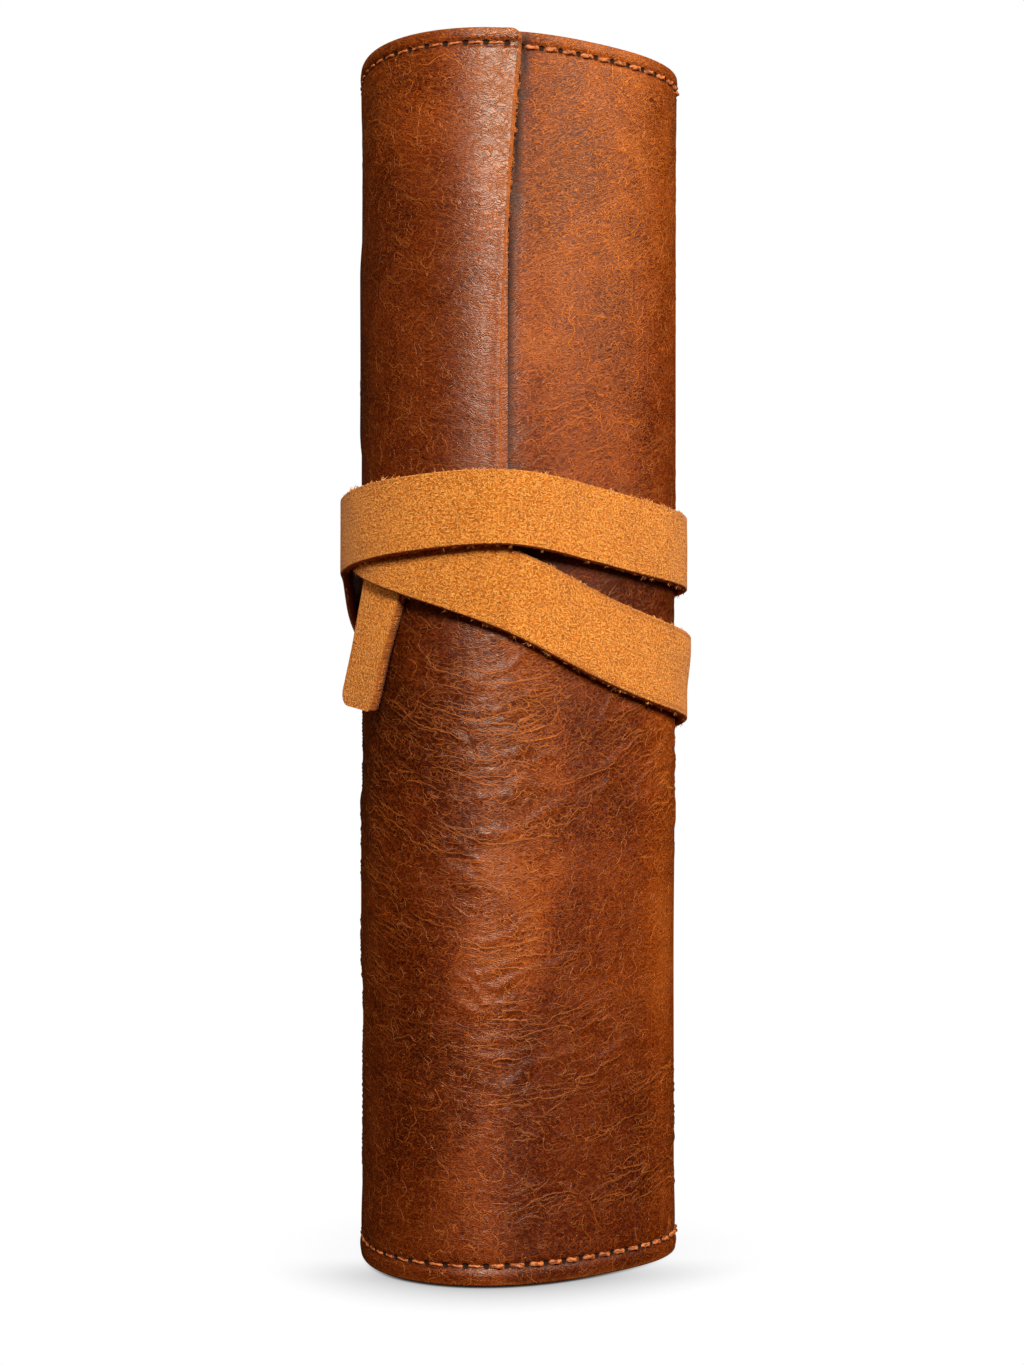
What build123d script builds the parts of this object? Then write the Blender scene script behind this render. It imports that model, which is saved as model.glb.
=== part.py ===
from build123d import *
import os
from math import atan2, cos, degrees, radians, sin, tan

# A leather brush case, rolled up and standing on end, held by a long strap.
#
# Millimetres and degrees, +Z up.  Plan angles count outwards along the spiral: 0 is
# the front (-Y), 90 the right (+X), and each full turn further out adds 360.  The
# sheet, the pockets and the strap bend at upright fold lines, so each is a row of
# stiff sections with a hinge between neighbours.

# ---------------------------------------------------------------- driving dimensions

ROLL_HEIGHT = 240.0
ROLL_RADIUS = 32.5  # outer face of the sheet at the flap's upright edge
ROLL_CENTRE = (0.5, 1.4)  # the spiral's centre, so that the origin is mid-footprint

LEATHER = 2.0  # the rolled sheet
SKIVED_LEATHER = 1.2  # the thinned outer end of the flap
SECTION_ANGLE = 60.0
SHEET_START = -1050.0  # inner end of the sheet
FLAP_EDGE = -2.0  # the flap's upright edge at the front
FLAP_END = 135.0  # outer end of the flap's lower part
FLAP_STEP_HEIGHT = 145.0  # the flap's lower part is this high

POCKET_LEATHER = 1.2
SLOT_DEPTH = 6.2
POCKET_HEIGHT = 150.0
POCKET_LIFT = 2.0  # the pockets' bottom seam above the sheet's bottom edge
POCKETS = 11  # sections with a pocket, counted from the inner end
PLAIN_START = -690.0  # outwards from here the turns lie leather on leather

STRAP_WIDTH = 15.0
STRAP_THICKNESS = 2.0
STRAP_START = -68.0  # where the strap comes up from under its own wraps
STRAP_END = 555.0
STRAP_CORNER = 5.0
TAIL_ANGLE = -45.0
TAIL_BOTTOM = 111.0  # height of the tail's lower end
TAIL_LEAN = 10.5
TAIL_CORNER = 4.5

RIVET_ANGLES = (107.0, 125.0)
RIVET_RADIUS = 1.6
RIVET_HEAD_RADIUS = 3.6
RIVET_HEAD = 0.7

# ---------------------------------------------------------------- clearances

TURN_GAP = 0.3  # between one turn and the next
FOLD_GAP = 0.3  # between neighbouring sections
SEAT_GAP = 0.1  # between layers sewn to each other
TUCK_GAP = 0.4  # below the band that the tail comes out from
RIVET_GAP = 0.05

# ---------------------------------------------------------------- the spiral

TURN = 360.0
PLAIN_PITCH = LEATHER + TURN_GAP
POCKET_STACK = SEAT_GAP + SLOT_DEPTH + POCKET_LEATHER
POCKET_PITCH = LEATHER + POCKET_STACK + TURN_GAP
SECTIONS = 20  # the last one ends beyond the flap's outer end


def section_start(number):
    """Plan angle where section 1, 2, ... starts, counted from the inner end."""
    return SHEET_START + SECTION_ANGLE * (number - 1)


def plain_radius(angle):
    """Outer face of the sheet where each turn lies straight on the one inside it."""
    return ROLL_RADIUS + PLAIN_PITCH * (angle - FLAP_EDGE) / TURN


def pocketed_radius(angle):
    """Outer face of the sheet where the turn around it carries pockets."""
    return plain_radius(angle + TURN) - POCKET_PITCH


def sheet_outer(angle):
    """Outer face of the sheet: plain turns, pocketed ones inside, and one section that joins them."""
    inner_end = PLAIN_START - SECTION_ANGLE
    if angle >= PLAIN_START:
        return min(plain_radius(angle), plain_radius(FLAP_EDGE) + flap_growth(angle))
    if angle <= inner_end:
        return pocketed_radius(angle)
    share = (angle - inner_end) / SECTION_ANGLE
    return pocketed_radius(inner_end) * (1 - share) + plain_radius(PLAIN_START) * share


def flap_growth(angle):
    """How far the flap's lower part stands out past its upright edge as it is thinned towards its end."""
    share = max(0.0, (angle - FLAP_EDGE) / (FLAP_END - FLAP_EDGE))
    end_growth = PLAIN_PITCH * (FLAP_END - FLAP_EDGE) / TURN + SKIVED_LEATHER - LEATHER
    return share * end_growth


def sheet_inner(angle):
    """Inner face of the sheet; beyond the flap's edge it follows the turn beneath it."""
    if angle >= PLAIN_START:
        return plain_radius(angle) - LEATHER
    return sheet_outer(angle) - LEATHER


def pocket_outer(angle):
    """The side of the pocket that is sewn to the sheet."""
    return sheet_inner(angle) - SEAT_GAP


def slot_inner(angle):
    """The pocket leather's face inside the slot."""
    return pocket_outer(angle) - SLOT_DEPTH


def pocket_inner(angle):
    """The pocket leather's face towards the middle of the roll."""
    return slot_inner(angle) - POCKET_LEATHER


# ---------------------------------------------------------------- the strap's path

# Where the second wrap stops lying on the first and comes down onto the flap.
CROSSING_END = 368.0

# For each section of the strap: the height of its centre line where it starts, and
# its slack off what it lies on there and halfway along.
STRAP_ROUTE = [
    (146.0, 0.0, 0.0),
    (139.3, 0.0, 0.0),
    (125.2, 0.0, 0.0),
    (117.0, 0.0, 0.0),
    (112.0, 1.2, 0.6),
    (118.0, 0.0, 0.85),
    (143.5, 1.65, 0.2),
    (147.4, 0.0, 0.05),
    (146.2, 1.4, 0.8),
    (142.5, 0.5, 0.4),
    (140.5, 1.7, 1.6),
    (139.5, 1.6, 0.0),
]
STRAP_SECTIONS = len(STRAP_ROUTE) - 1
SECTIONS_WITH_STRAP = 4  # the last four sections of the sheet carry the first wrap


def strap_fold(index):
    """Plan angle of the strap's start, of each fold, and of its end."""
    if index == 0:
        return STRAP_START
    if index == STRAP_SECTIONS:
        return STRAP_END
    return section_start(SECTIONS - SECTIONS_WITH_STRAP + 1 + index)


def strap_bed(angle):
    """The lowest that the strap's inner face can lie at this angle, on whatever is under it."""
    below = angle - TURN
    if angle <= FLAP_END:
        return sheet_outer(angle) + SEAT_GAP
    if below < STRAP_START:
        return sheet_outer(below) + TURN_GAP
    if angle <= CROSSING_END:
        return sheet_outer(below) + SEAT_GAP + STRAP_THICKNESS + TURN_GAP
    if below <= FLAP_END:
        return sheet_outer(below) + TURN_GAP
    return sheet_outer(below - TURN) + TURN_GAP


def strap_inner(index, step):
    """Inner face of strap section index at its start, middle or end: step 0, 1 or 2."""
    start, end = strap_fold(index), strap_fold(index + 1)
    if step == 1:
        return strap_bed((start + end) / 2) + STRAP_ROUTE[index][2]
    if step == 2:
        return strap_bed(end) + STRAP_ROUTE[index + 1][1]
    return strap_bed(start) + STRAP_ROUTE[index][1]


def strap_slope(index):
    """The angle at which a strap section climbs."""
    start, end = strap_fold(index), strap_fold(index + 1)
    rise = STRAP_ROUTE[index + 1][0] - STRAP_ROUTE[index][0]
    return degrees(atan2(rise, radians(end - start) * strap_inner(index, 1)))


# ---------------------------------------------------------------- drawing helpers


def at(angle, radius):
    """The point of the plan at this angle and this distance from the spiral's centre."""
    return (
        ROLL_CENTRE[0] + radius * sin(radians(angle)),
        ROLL_CENTRE[1] - radius * cos(radians(angle)),
    )


def bent_outline(start, end, outer, inner):
    """Draws a bent layer's plan into the open BuildLine.

    outer and inner hold the radii of its two faces at the start, middle and end.
    """
    angles = (start, (start + end) / 2, end)
    outside = [at(a, r) for a, r in zip(angles, outer)]
    inside = [at(a, r) for a, r in zip(angles, inner)]
    ThreePointArc(*outside)
    Line(outside[2], inside[2])
    ThreePointArc(*reversed(inside))
    Line(inside[0], outside[0])


def radii(face, start, end):
    """A face's radii at the start, middle and end of a stretch of the sheet."""
    return [face(start), face((start + end) / 2), face(end)]


def fold_inset(radius):
    """Half the gap between two sections, as an angle at this radius."""
    return degrees(FOLD_GAP / 2 / radius)


def upright_plane(angle, radius, height=0.0):
    """A plane that faces outwards at this place on the roll, its y axis up."""
    return Plane(
        origin=(*at(angle, radius), height),
        x_dir=(cos(radians(angle)), sin(radians(angle)), 0),
        z_dir=(sin(radians(angle)), -cos(radians(angle)), 0),
    )


def save(part, name):
    """Writes one finished piece."""
    part.label = name
    export_step(part, f"parts/{name}.step")


# ---------------------------------------------------------------- the sheet


def rivet_holes(strap_index):
    """Sketch-plane places of the rivets: outward planes on the strap's centre line."""
    start, end = strap_fold(strap_index), strap_fold(strap_index + 1)
    low, high = STRAP_ROUTE[strap_index][0], STRAP_ROUTE[strap_index + 1][0]
    places = []
    for angle in RIVET_ANGLES:
        height = low + (high - low) * (angle - start) / (end - start)
        places.append(upright_plane(angle, sheet_inner(angle), height))
    return places


def make_shell_section(number):
    """One section of the leather sheet, between two folds."""
    start = section_start(number)
    end = min(start + SECTION_ANGLE, FLAP_END)
    start_cut = start + (fold_inset(sheet_outer(start)) if number > 1 else 0.0)
    end_cut = end - (fold_inset(sheet_outer(end)) if number < SECTIONS else 0.0)
    with BuildPart() as shell:
        with BuildSketch(Plane.XY):
            with BuildLine():
                bent_outline(
                    start_cut,
                    end_cut,
                    radii(sheet_outer, start_cut, end_cut),
                    radii(sheet_inner, start_cut, end_cut),
                )
            make_face()
        extrude(amount=ROLL_HEIGHT if start < FLAP_EDGE else FLAP_STEP_HEIGHT)
        if start < FLAP_EDGE < end:
            with BuildSketch(Plane.XY.offset(FLAP_STEP_HEIGHT)):
                with BuildLine():
                    Polyline(
                        at(FLAP_EDGE, ROLL_RADIUS / 2),
                        at(FLAP_EDGE, 2 * ROLL_RADIUS),
                        at(end, 2 * ROLL_RADIUS),
                        at(end, ROLL_RADIUS / 2),
                        close=True,
                    )
                make_face()
            extrude(amount=ROLL_HEIGHT, mode=Mode.SUBTRACT)
        if number == SECTIONS:
            for place in rivet_holes(SECTIONS_WITH_STRAP - 1):
                with BuildSketch(place.offset(-LEATHER)):
                    Circle(RIVET_RADIUS + RIVET_GAP)
                extrude(amount=3 * LEATHER, mode=Mode.SUBTRACT)
    save(shell.part, f"shell_{number:02d}")


# ---------------------------------------------------------------- the brush slots


def make_pocket(number):
    """One brush slot: a leather front, two sides sewn down to the sheet and a closed bottom."""
    inner_radius = pocket_inner(section_start(number) + SECTION_ANGLE / 2)
    inset = fold_inset(inner_radius)
    start = section_start(number) + inset
    end = section_start(number) + SECTION_ANGLE - inset
    wall = degrees(POCKET_LEATHER / (inner_radius + SLOT_DEPTH / 2))
    slot_start, slot_end = start + wall, end - wall
    cut_depth = SLOT_DEPTH / 2
    with BuildPart() as pocket:
        with BuildSketch(Plane.XY.offset(POCKET_LIFT)):
            with BuildLine():
                bent_outline(start, end, radii(pocket_outer, start, end), radii(pocket_inner, start, end))
            make_face()
        extrude(amount=POCKET_HEIGHT)
        with BuildSketch(Plane.XY.offset(POCKET_LIFT + POCKET_LEATHER)):
            with BuildLine():
                bent_outline(
                    slot_start,
                    slot_end,
                    [r + cut_depth for r in radii(pocket_outer, slot_start, slot_end)],
                    radii(slot_inner, slot_start, slot_end),
                )
            make_face()
        extrude(amount=POCKET_HEIGHT, mode=Mode.SUBTRACT)
    save(pocket.part, f"pocket_{number:02d}")


# ---------------------------------------------------------------- the strap


def make_strap_section(index):
    """One section of the wound strap: a bent layer cut to a band that climbs round the roll."""
    start, end = strap_fold(index), strap_fold(index + 1)
    inner = [strap_inner(index, step) for step in (0, 1, 2)]
    outer = [r + STRAP_THICKNESS for r in inner]
    start_cut = start + (fold_inset(outer[0]) if index > 0 else 0.0)
    end_cut = end - (fold_inset(outer[2]) if index < STRAP_SECTIONS - 1 else 0.0)
    slope = strap_slope(index)
    low, high = STRAP_ROUTE[index][0], STRAP_ROUTE[index + 1][0]
    half_height = STRAP_WIDTH / 2 / cos(radians(slope))
    bottom = min(low, high) - 2 * half_height
    middle = (start + end) / 2
    with BuildPart() as strap:
        with BuildSketch(Plane.XY.offset(bottom)):
            with BuildLine():
                bent_outline(start_cut, end_cut, outer, inner)
            make_face()
        extrude(amount=abs(high - low) + 4 * half_height)
        for side in (-1, 1):
            edge = upright_plane(middle, inner[1], (low + high) / 2 + side * half_height)
            cut = Plane(
                origin=edge.origin,
                x_dir=edge.z_dir,
                z_dir=edge.y_dir * cos(radians(slope)) - edge.x_dir * sin(radians(slope)),
            )
            split(bisect_by=cut, keep=Keep.BOTTOM if side > 0 else Keep.TOP)
        if index == STRAP_SECTIONS - 1:
            end_face = strap.faces().sort_by_distance((*at(end, inner[2]), high))[0]
            short = end_face.edges().group_by(SortBy.LENGTH)[0]
            fillet(short, STRAP_CORNER)
        if index == SECTIONS_WITH_STRAP - 1:
            for place in rivet_holes(index):
                with BuildSketch(place):
                    Circle(RIVET_RADIUS + RIVET_GAP)
                extrude(amount=3 * LEATHER + STRAP_THICKNESS, mode=Mode.SUBTRACT)
    save(strap.part, f"strap_{index + 1:02d}")


def make_tail():
    """The strap's free short end, hanging at the front left from under its first band."""
    radius = sheet_outer(TAIL_ANGLE) + SEAT_GAP
    slope = tan(radians(strap_slope(0)))
    share = (TAIL_ANGLE - STRAP_START) / (strap_fold(1) - STRAP_START)
    band = STRAP_ROUTE[0][0] + (STRAP_ROUTE[1][0] - STRAP_ROUTE[0][0]) * share
    top = band - STRAP_WIDTH / 2 / cos(radians(strap_slope(0))) - TUCK_GAP
    shift = (top - TAIL_BOTTOM) * tan(radians(TAIL_LEAN))
    half = STRAP_WIDTH / 2
    with BuildPart() as tail:
        with BuildSketch(upright_plane(TAIL_ANGLE, radius)) as face:
            with BuildLine():
                Polyline(
                    (-half, top - half * slope),
                    (half, top + half * slope),
                    (half - shift, TAIL_BOTTOM),
                    (-half - shift, TAIL_BOTTOM),
                    close=True,
                )
            make_face()
            fillet(face.vertices().group_by(Axis.Y)[0], TAIL_CORNER)
        extrude(amount=STRAP_THICKNESS)
    save(tail.part, "strap_tail")


def make_rivets():
    """Two flat-headed rivets that hold the strap to the flap's outer end."""
    with BuildPart() as rivets:
        for angle, place in zip(RIVET_ANGLES, rivet_holes(SECTIONS_WITH_STRAP - 1)):
            length = strap_bed(angle) + STRAP_THICKNESS - sheet_inner(angle)
            with BuildSketch(place):
                Circle(RIVET_RADIUS)
            extrude(amount=length)
            with BuildSketch(place.offset(length)):
                Circle(RIVET_HEAD_RADIUS)
            extrude(amount=RIVET_HEAD)
    save(rivets.part, "strap_rivets")


def main():
    """Makes every piece of the case."""
    os.makedirs("parts", exist_ok=True)
    for number in range(1, SECTIONS + 1):
        make_shell_section(number)
    for number in range(1, POCKETS + 1):
        make_pocket(number)
    for index in range(STRAP_SECTIONS):
        make_strap_section(index)
    make_tail()
    make_rivets()


main()
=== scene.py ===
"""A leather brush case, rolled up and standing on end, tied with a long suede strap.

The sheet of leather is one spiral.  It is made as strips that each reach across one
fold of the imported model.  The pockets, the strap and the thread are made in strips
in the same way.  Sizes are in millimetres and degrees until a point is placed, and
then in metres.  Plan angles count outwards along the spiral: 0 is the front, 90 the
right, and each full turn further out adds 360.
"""

import logging
import math
from dataclasses import dataclass, field
from enum import Enum
from typing import Callable, Optional, Sequence

import bpy
import numpy as np
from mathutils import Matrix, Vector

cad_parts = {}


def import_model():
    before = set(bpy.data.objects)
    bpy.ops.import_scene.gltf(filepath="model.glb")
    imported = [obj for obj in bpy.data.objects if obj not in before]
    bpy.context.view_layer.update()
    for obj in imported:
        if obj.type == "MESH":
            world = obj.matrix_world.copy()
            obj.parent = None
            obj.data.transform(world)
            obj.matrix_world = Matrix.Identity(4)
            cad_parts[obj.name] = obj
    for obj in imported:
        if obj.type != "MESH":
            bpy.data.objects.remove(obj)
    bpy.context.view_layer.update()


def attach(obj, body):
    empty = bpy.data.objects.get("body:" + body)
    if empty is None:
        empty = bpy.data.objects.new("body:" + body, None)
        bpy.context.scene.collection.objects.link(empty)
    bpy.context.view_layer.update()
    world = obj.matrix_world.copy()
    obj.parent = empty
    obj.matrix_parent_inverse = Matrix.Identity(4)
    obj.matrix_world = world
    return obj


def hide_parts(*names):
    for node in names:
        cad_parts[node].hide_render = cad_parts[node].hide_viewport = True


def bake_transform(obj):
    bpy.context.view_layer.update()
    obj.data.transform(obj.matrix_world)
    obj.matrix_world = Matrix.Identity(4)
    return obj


LOG = logging.getLogger("brush_case")
MM = 0.001
TURN = 360.0
STITCH_PITCH = 4.0
STITCH_ROWS = (236.9, 4.0)  # heights of the two hems' rows of stitches

Array = np.ndarray
Colour = tuple[float, float, float, float]


# --------------------------------------------------------------------------- numbers


def smooth(x: Array) -> Array:
    """Eases from 0 to 1: three times the square less twice the cube, held outside 0 to 1."""
    t = np.clip(x, 0.0, 1.0)
    return t * t * (3.0 - 2.0 * t)


def bump(x: Array, middle: float, width: float) -> Array:
    """A bell of height 1 at middle: e to the minus square of the distance over the width."""
    return np.exp(-(((x - middle) / width) ** 2))


def evenly(start: float, end: float, step: float) -> Array:
    """Evenly spaced values from start to end, about a step apart."""
    return np.linspace(start, end, max(3, round((end - start) / step) + 1))


def one_more_each_end(values: Array) -> Array:
    """Values with one more, at the same spacing, before the first and after the last."""
    return np.concatenate([2 * values[:1] - values[1:2], values, 2 * values[-1:] - values[-2:-1]])


def hermite(knots: Array, values: Array, x: Array) -> Array:
    """A smooth curve through points.

    Each stretch is a cubic whose slopes at its ends are the slopes between the
    neighbouring points.

    Args:
        knots: the places of the points, rising.
        values: the curve's value at each.
        x: where the curve is wanted.

    Returns:
        The curve's values at x.
    """
    knots, values = np.asarray(knots, float), np.asarray(values, float)
    slopes = np.gradient(values, knots)
    i = np.clip(np.searchsorted(knots, x, side="right") - 1, 0, len(knots) - 2)
    width = knots[i + 1] - knots[i]
    t = (x - knots[i]) / width
    return (
        (2 * t**3 - 3 * t**2 + 1) * values[i]
        + (t**3 - 2 * t**2 + t) * width * slopes[i]
        + (3 * t**2 - 2 * t**3) * values[i + 1]
        + (t**3 - t**2) * width * slopes[i + 1]
    )


class SmoothNoise:
    """A smooth random field: seeded values on a square lattice, eased between its corners."""

    SIZE = 256

    def __init__(self, seed: int) -> None:
        """Draws the lattice from the seed."""
        self.lattice = np.random.default_rng(seed).random((self.SIZE, self.SIZE))

    def at(self, x: Array, y: Array) -> Array:
        """The field from 0 to 1 at these places, one lattice cell per unit.

        Args:
            x: places along the lattice.
            y: places across it.

        Returns:
            Values from 0 to 1.
        """
        column, row = np.floor(x).astype(int), np.floor(y).astype(int)
        across, up = smooth(x - column), smooth(y - row)
        left, right = column % self.SIZE, (column + 1) % self.SIZE
        low, high = row % self.SIZE, (row + 1) % self.SIZE
        grid = self.lattice
        bottom = grid[left, low] * (1 - across) + grid[right, low] * across
        top = grid[left, high] * (1 - across) + grid[right, high] * across
        return bottom * (1 - up) + top * up

    def layered(self, x: Array, y: Array, layers: int = 3) -> Array:
        """The field with finer copies of itself added, each half as strong.

        Args:
            x: places along the lattice.
            y: places across it.
            layers: how many copies.

        Returns:
            Values from 0 to 1.
        """
        total, weight = np.zeros(np.broadcast(x, y).shape), 0.0
        for layer in range(layers):
            share, scale = 0.5**layer, 2.0**layer
            total = total + share * self.at(x * scale + 17.3 * layer, y * scale + 5.1 * layer)
            weight += share
        return total / weight


# --------------------------------------------------------------------------- the plan


@dataclass(frozen=True)
class RollPlan:
    """The spiral that every layer of the case follows, in millimetres and degrees."""

    height: float = 240.0
    radius: float = 32.5
    centre: tuple[float, float] = (0.5, 1.4)
    leather: float = 2.0
    skived: float = 1.2
    section_angle: float = 60.0
    sheet_start: float = -1050.0
    flap_edge: float = -2.0
    flap_end: float = 135.0
    step_height: float = 145.0
    raw_edge: float = -1.9  # the leather's upright edge, low down
    edge_lean: float = 7.1  # how far round the edge leans by the top
    lean_from: float = 155.0
    corner_turn: float = 4.2  # how far round the edge's top corner is cut back
    corner_height: float = 2.6
    pocket_leather: float = 1.2
    slot_depth: float = 6.2
    pocket_height: float = 150.0
    pocket_lift: float = 2.0
    pockets: int = 11
    plain_start: float = -690.0
    turn_gap: float = 0.3
    seat_gap: float = 0.1
    sections: int = 20
    # How the roll is out of round, as shares of its radius: two and three waves a turn.
    squash_two: tuple[float, float] = (0.006, -0.020)
    squash_three: tuple[float, float] = (0.027, -0.055)

    @property
    def plain_pitch(self) -> float:
        """Growth of the radius over a turn that lies on the turn inside it."""
        return self.leather + self.turn_gap

    @property
    def pocket_pitch(self) -> float:
        """Growth of the radius over a turn that carries pockets."""
        return self.leather + self.seat_gap + self.slot_depth + self.pocket_leather + self.turn_gap

    def section_start(self, number: float) -> float:
        """Plan angle where section 1, 2, ... starts, counted from the inner end."""
        return self.sheet_start + self.section_angle * (number - 1)

    def middle(self, number: float) -> float:
        """Plan angle halfway along a section."""
        return self.section_start(number) + self.section_angle / 2

    def plain(self, angle: Array) -> Array:
        """Outer face where each turn lies straight on the one inside it."""
        return self.radius + self.plain_pitch * (angle - self.flap_edge) / TURN

    def outer(self, angle: Array) -> Array:
        """Outer face of the sheet: plain outside, pocketed inside, one section joining them.

        Args:
            angle: plan angles.

        Returns:
            Radii on the round roll.
        """
        angle = np.asarray(angle, float)
        span = self.flap_end - self.flap_edge
        growth = self.plain_pitch * span / TURN + self.skived - self.leather
        share = np.clip((angle - self.flap_edge) / span, 0, None)
        flap = np.minimum(self.plain(angle), self.radius + share * growth)
        inner_end = self.plain_start - self.section_angle
        pocketed = self.plain(angle + TURN) - self.pocket_pitch
        join = np.clip((angle - inner_end) / self.section_angle, 0, 1)
        joined = (self.plain(inner_end + TURN) - self.pocket_pitch) * (1 - join)
        joined = joined + self.plain(self.plain_start) * join
        return np.where(angle >= self.plain_start, flap, np.where(angle <= inner_end, pocketed, joined))

    def thickness(self, angle: Array) -> Array:
        """The sheet's thickness, thinned along the flap's lower part.

        Args:
            angle: plan angles.

        Returns:
            The thickness in millimetres.
        """
        angle = np.asarray(angle, float)
        flap = self.outer(angle) - (self.plain(angle) - self.leather)
        return np.where(angle > self.flap_edge, flap, self.leather)

    def inner(self, angle: Array) -> Array:
        """Inner face of the sheet."""
        return self.outer(angle) - self.thickness(angle)

    def roundness(self, angle: Array) -> Array:
        """One plus the two waves and the three waves a turn that press the roll out of round.

        Args:
            angle: plan angles.

        Returns:
            What the radii there are multiplied by.
        """
        a = np.radians(angle)
        return (
            1.0
            + self.squash_two[0] * np.cos(2 * a)
            + self.squash_two[1] * np.sin(2 * a)
            + self.squash_three[0] * np.cos(3 * a)
            + self.squash_three[1] * np.sin(3 * a)
        )

    def place(self, angle: Array, radius: Array, height: Array) -> Array:
        """Points in metres, from plan angles, radii on the round roll, and heights.

        Args:
            angle: plan angles.
            radius: radii on the round roll.
            height: heights.

        Returns:
            Points in metres.
        """
        angle, radius, height = np.broadcast_arrays(angle, radius, height)
        a, r = np.radians(angle), radius * self.roundness(angle)
        return np.stack(
            [self.centre[0] + r * np.sin(a), self.centre[1] - r * np.cos(a), height.astype(float)], -1
        ) * MM

    def arc_length(self, angle: Array) -> Array:
        """Distance along the outer face from the inner end, summed over short chords.

        Args:
            angle: plan angles.

        Returns:
            Distances in millimetres.
        """
        fine = np.arange(self.sheet_start, self.flap_end + 1.0, 1.0)
        points = self.place(fine, self.outer(fine), 0.0) / MM
        steps = np.linalg.norm(np.diff(points, axis=0), axis=1)
        return np.interp(angle, fine, np.concatenate([[0.0], np.cumsum(steps)]))

    def edge_angle(self, height: Array) -> Array:
        """The flap's upright edge, which leans further round the roll towards its top.

        Args:
            height: heights.

        Returns:
            The edge's plan angles.
        """
        height = np.asarray(height, float)
        rise = np.clip((height - self.lean_from) / (self.height - self.lean_from), 0, None)
        corner = np.clip((height - (self.height - self.corner_height)) / self.corner_height, 0, 1)
        return self.raw_edge + self.edge_lean * rise**2.1 - self.corner_turn * (1 - np.sqrt(1 - corner**2))


# --------------------------------------------------------------------------- meshes


def add_object(name: str, data: bpy.types.ID) -> bpy.types.Object:
    """Puts a mesh, a lamp or a camera into the scene as an object at the origin.

    Args:
        name: the object's name.
        data: the mesh, lamp or camera.

    Returns:
        The object.
    """
    thing = bpy.data.objects.new(name, data)
    bpy.context.scene.collection.objects.link(thing)
    return thing


@dataclass
class Skin:
    """A closed band of surface: a grid of points, closed round its second direction.

    Row j of the second direction lies across the layer from row -1-j, so the two ends
    are closed with faces between them.
    """

    name: str
    points: Array
    uv: Array
    normals: Array
    marks: dict[str, Array] = field(default_factory=dict)
    materials: Sequence[bpy.types.Material] = ()

    def build(self) -> bpy.types.Object:
        """Puts the grid and its two ends into a mesh.

        Returns:
            The new object, at the origin, with its UV map, marks and normals.
        """
        columns, rows = self.points.shape[:2]
        index = np.arange(columns * rows).reshape(columns, rows)
        ahead = np.roll(index, -1, axis=1)
        sides = np.stack([index[:-1], index[1:], ahead[1:], ahead[:-1]], -1).reshape(-1, 4)
        half = rows // 2
        low, high = np.arange(half - 1), np.arange(1, half)
        far_low, far_high = rows - 1 - low, rows - 1 - high
        start, end = index[0], index[-1]
        first = np.stack([start[low], start[high], start[far_high], start[far_low]], -1)
        last = np.stack([end[low], end[far_low], end[far_high], end[high]], -1)
        faces = np.concatenate([sides, first, last])
        mesh = bpy.data.meshes.new(self.name)
        flat = self.points.reshape(-1, 3)
        if self.turned_in(flat, faces):
            faces = faces[:, ::-1]
        mesh.from_pydata(flat.tolist(), [], faces.tolist())
        loops = faces.reshape(-1)
        layer = mesh.uv_layers.new(name="surface")
        layer.data.foreach_set("uv", self.uv.reshape(-1, 2)[loops].astype(np.float32).ravel())
        for name, values in self.marks.items():
            mark = mesh.attributes.new(name, "FLOAT", "POINT")
            spread = np.broadcast_to(values, (columns, rows)).astype(np.float32)
            mark.data.foreach_set("value", spread.ravel())
        mesh.polygons.foreach_set("use_smooth", np.ones(len(faces), bool))
        corner = self.normals.reshape(-1, 3)[loops].copy()
        corner[len(sides) * 4 :] = np.repeat(self.face_normals(flat, faces[len(sides) :]), 4, axis=0)
        mesh.normals_split_custom_set(corner.tolist())
        for material in self.materials:
            mesh.materials.append(material)
        mesh.update()
        return add_object(self.name, mesh)

    @staticmethod
    def face_normals(points: Array, faces: Array) -> Array:
        """Unit normals of flat faces, from the cross product of their diagonals.

        Args:
            points: the mesh's points.
            faces: the faces' points by number.

        Returns:
            A unit normal for each face.
        """
        a, b, c, d = (points[faces[:, k]] for k in range(4))
        normal = np.cross(c - a, d - b)
        return normal / np.maximum(np.linalg.norm(normal, axis=1, keepdims=True), 1e-12)

    @staticmethod
    def turned_in(points: Array, faces: Array) -> bool:
        """True where the volume, summed over the faces' cones, comes out negative.

        Args:
            points: the mesh's points.
            faces: the faces' points by number.

        Returns:
            True where the faces look inwards.
        """
        a, b, c, d = (points[faces[:, k]] for k in range(4))
        cones = np.einsum("ij,ij->i", a, np.cross(b, c)) + np.einsum("ij,ij->i", a, np.cross(c, d))
        return float(cones.sum()) < 0


def grid_normals(points: Array) -> Array:
    """Unit normals of a grid closed round its second direction.

    The normal is the cross product of the differences along the two directions, turned
    to point away from the middle of each column's loop.

    Args:
        points: the grid.

    Returns:
        A unit normal at each point.
    """
    along = np.gradient(points, axis=0)
    around = np.roll(points, -1, axis=1) - np.roll(points, 1, axis=1)
    normal = np.cross(along, around)
    normal /= np.maximum(np.linalg.norm(normal, axis=2, keepdims=True), 1e-12)
    away = points - points.mean(axis=1, keepdims=True)
    if np.einsum("ijk,ijk->", normal, away) < 0:
        normal = -normal
    return normal


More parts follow.
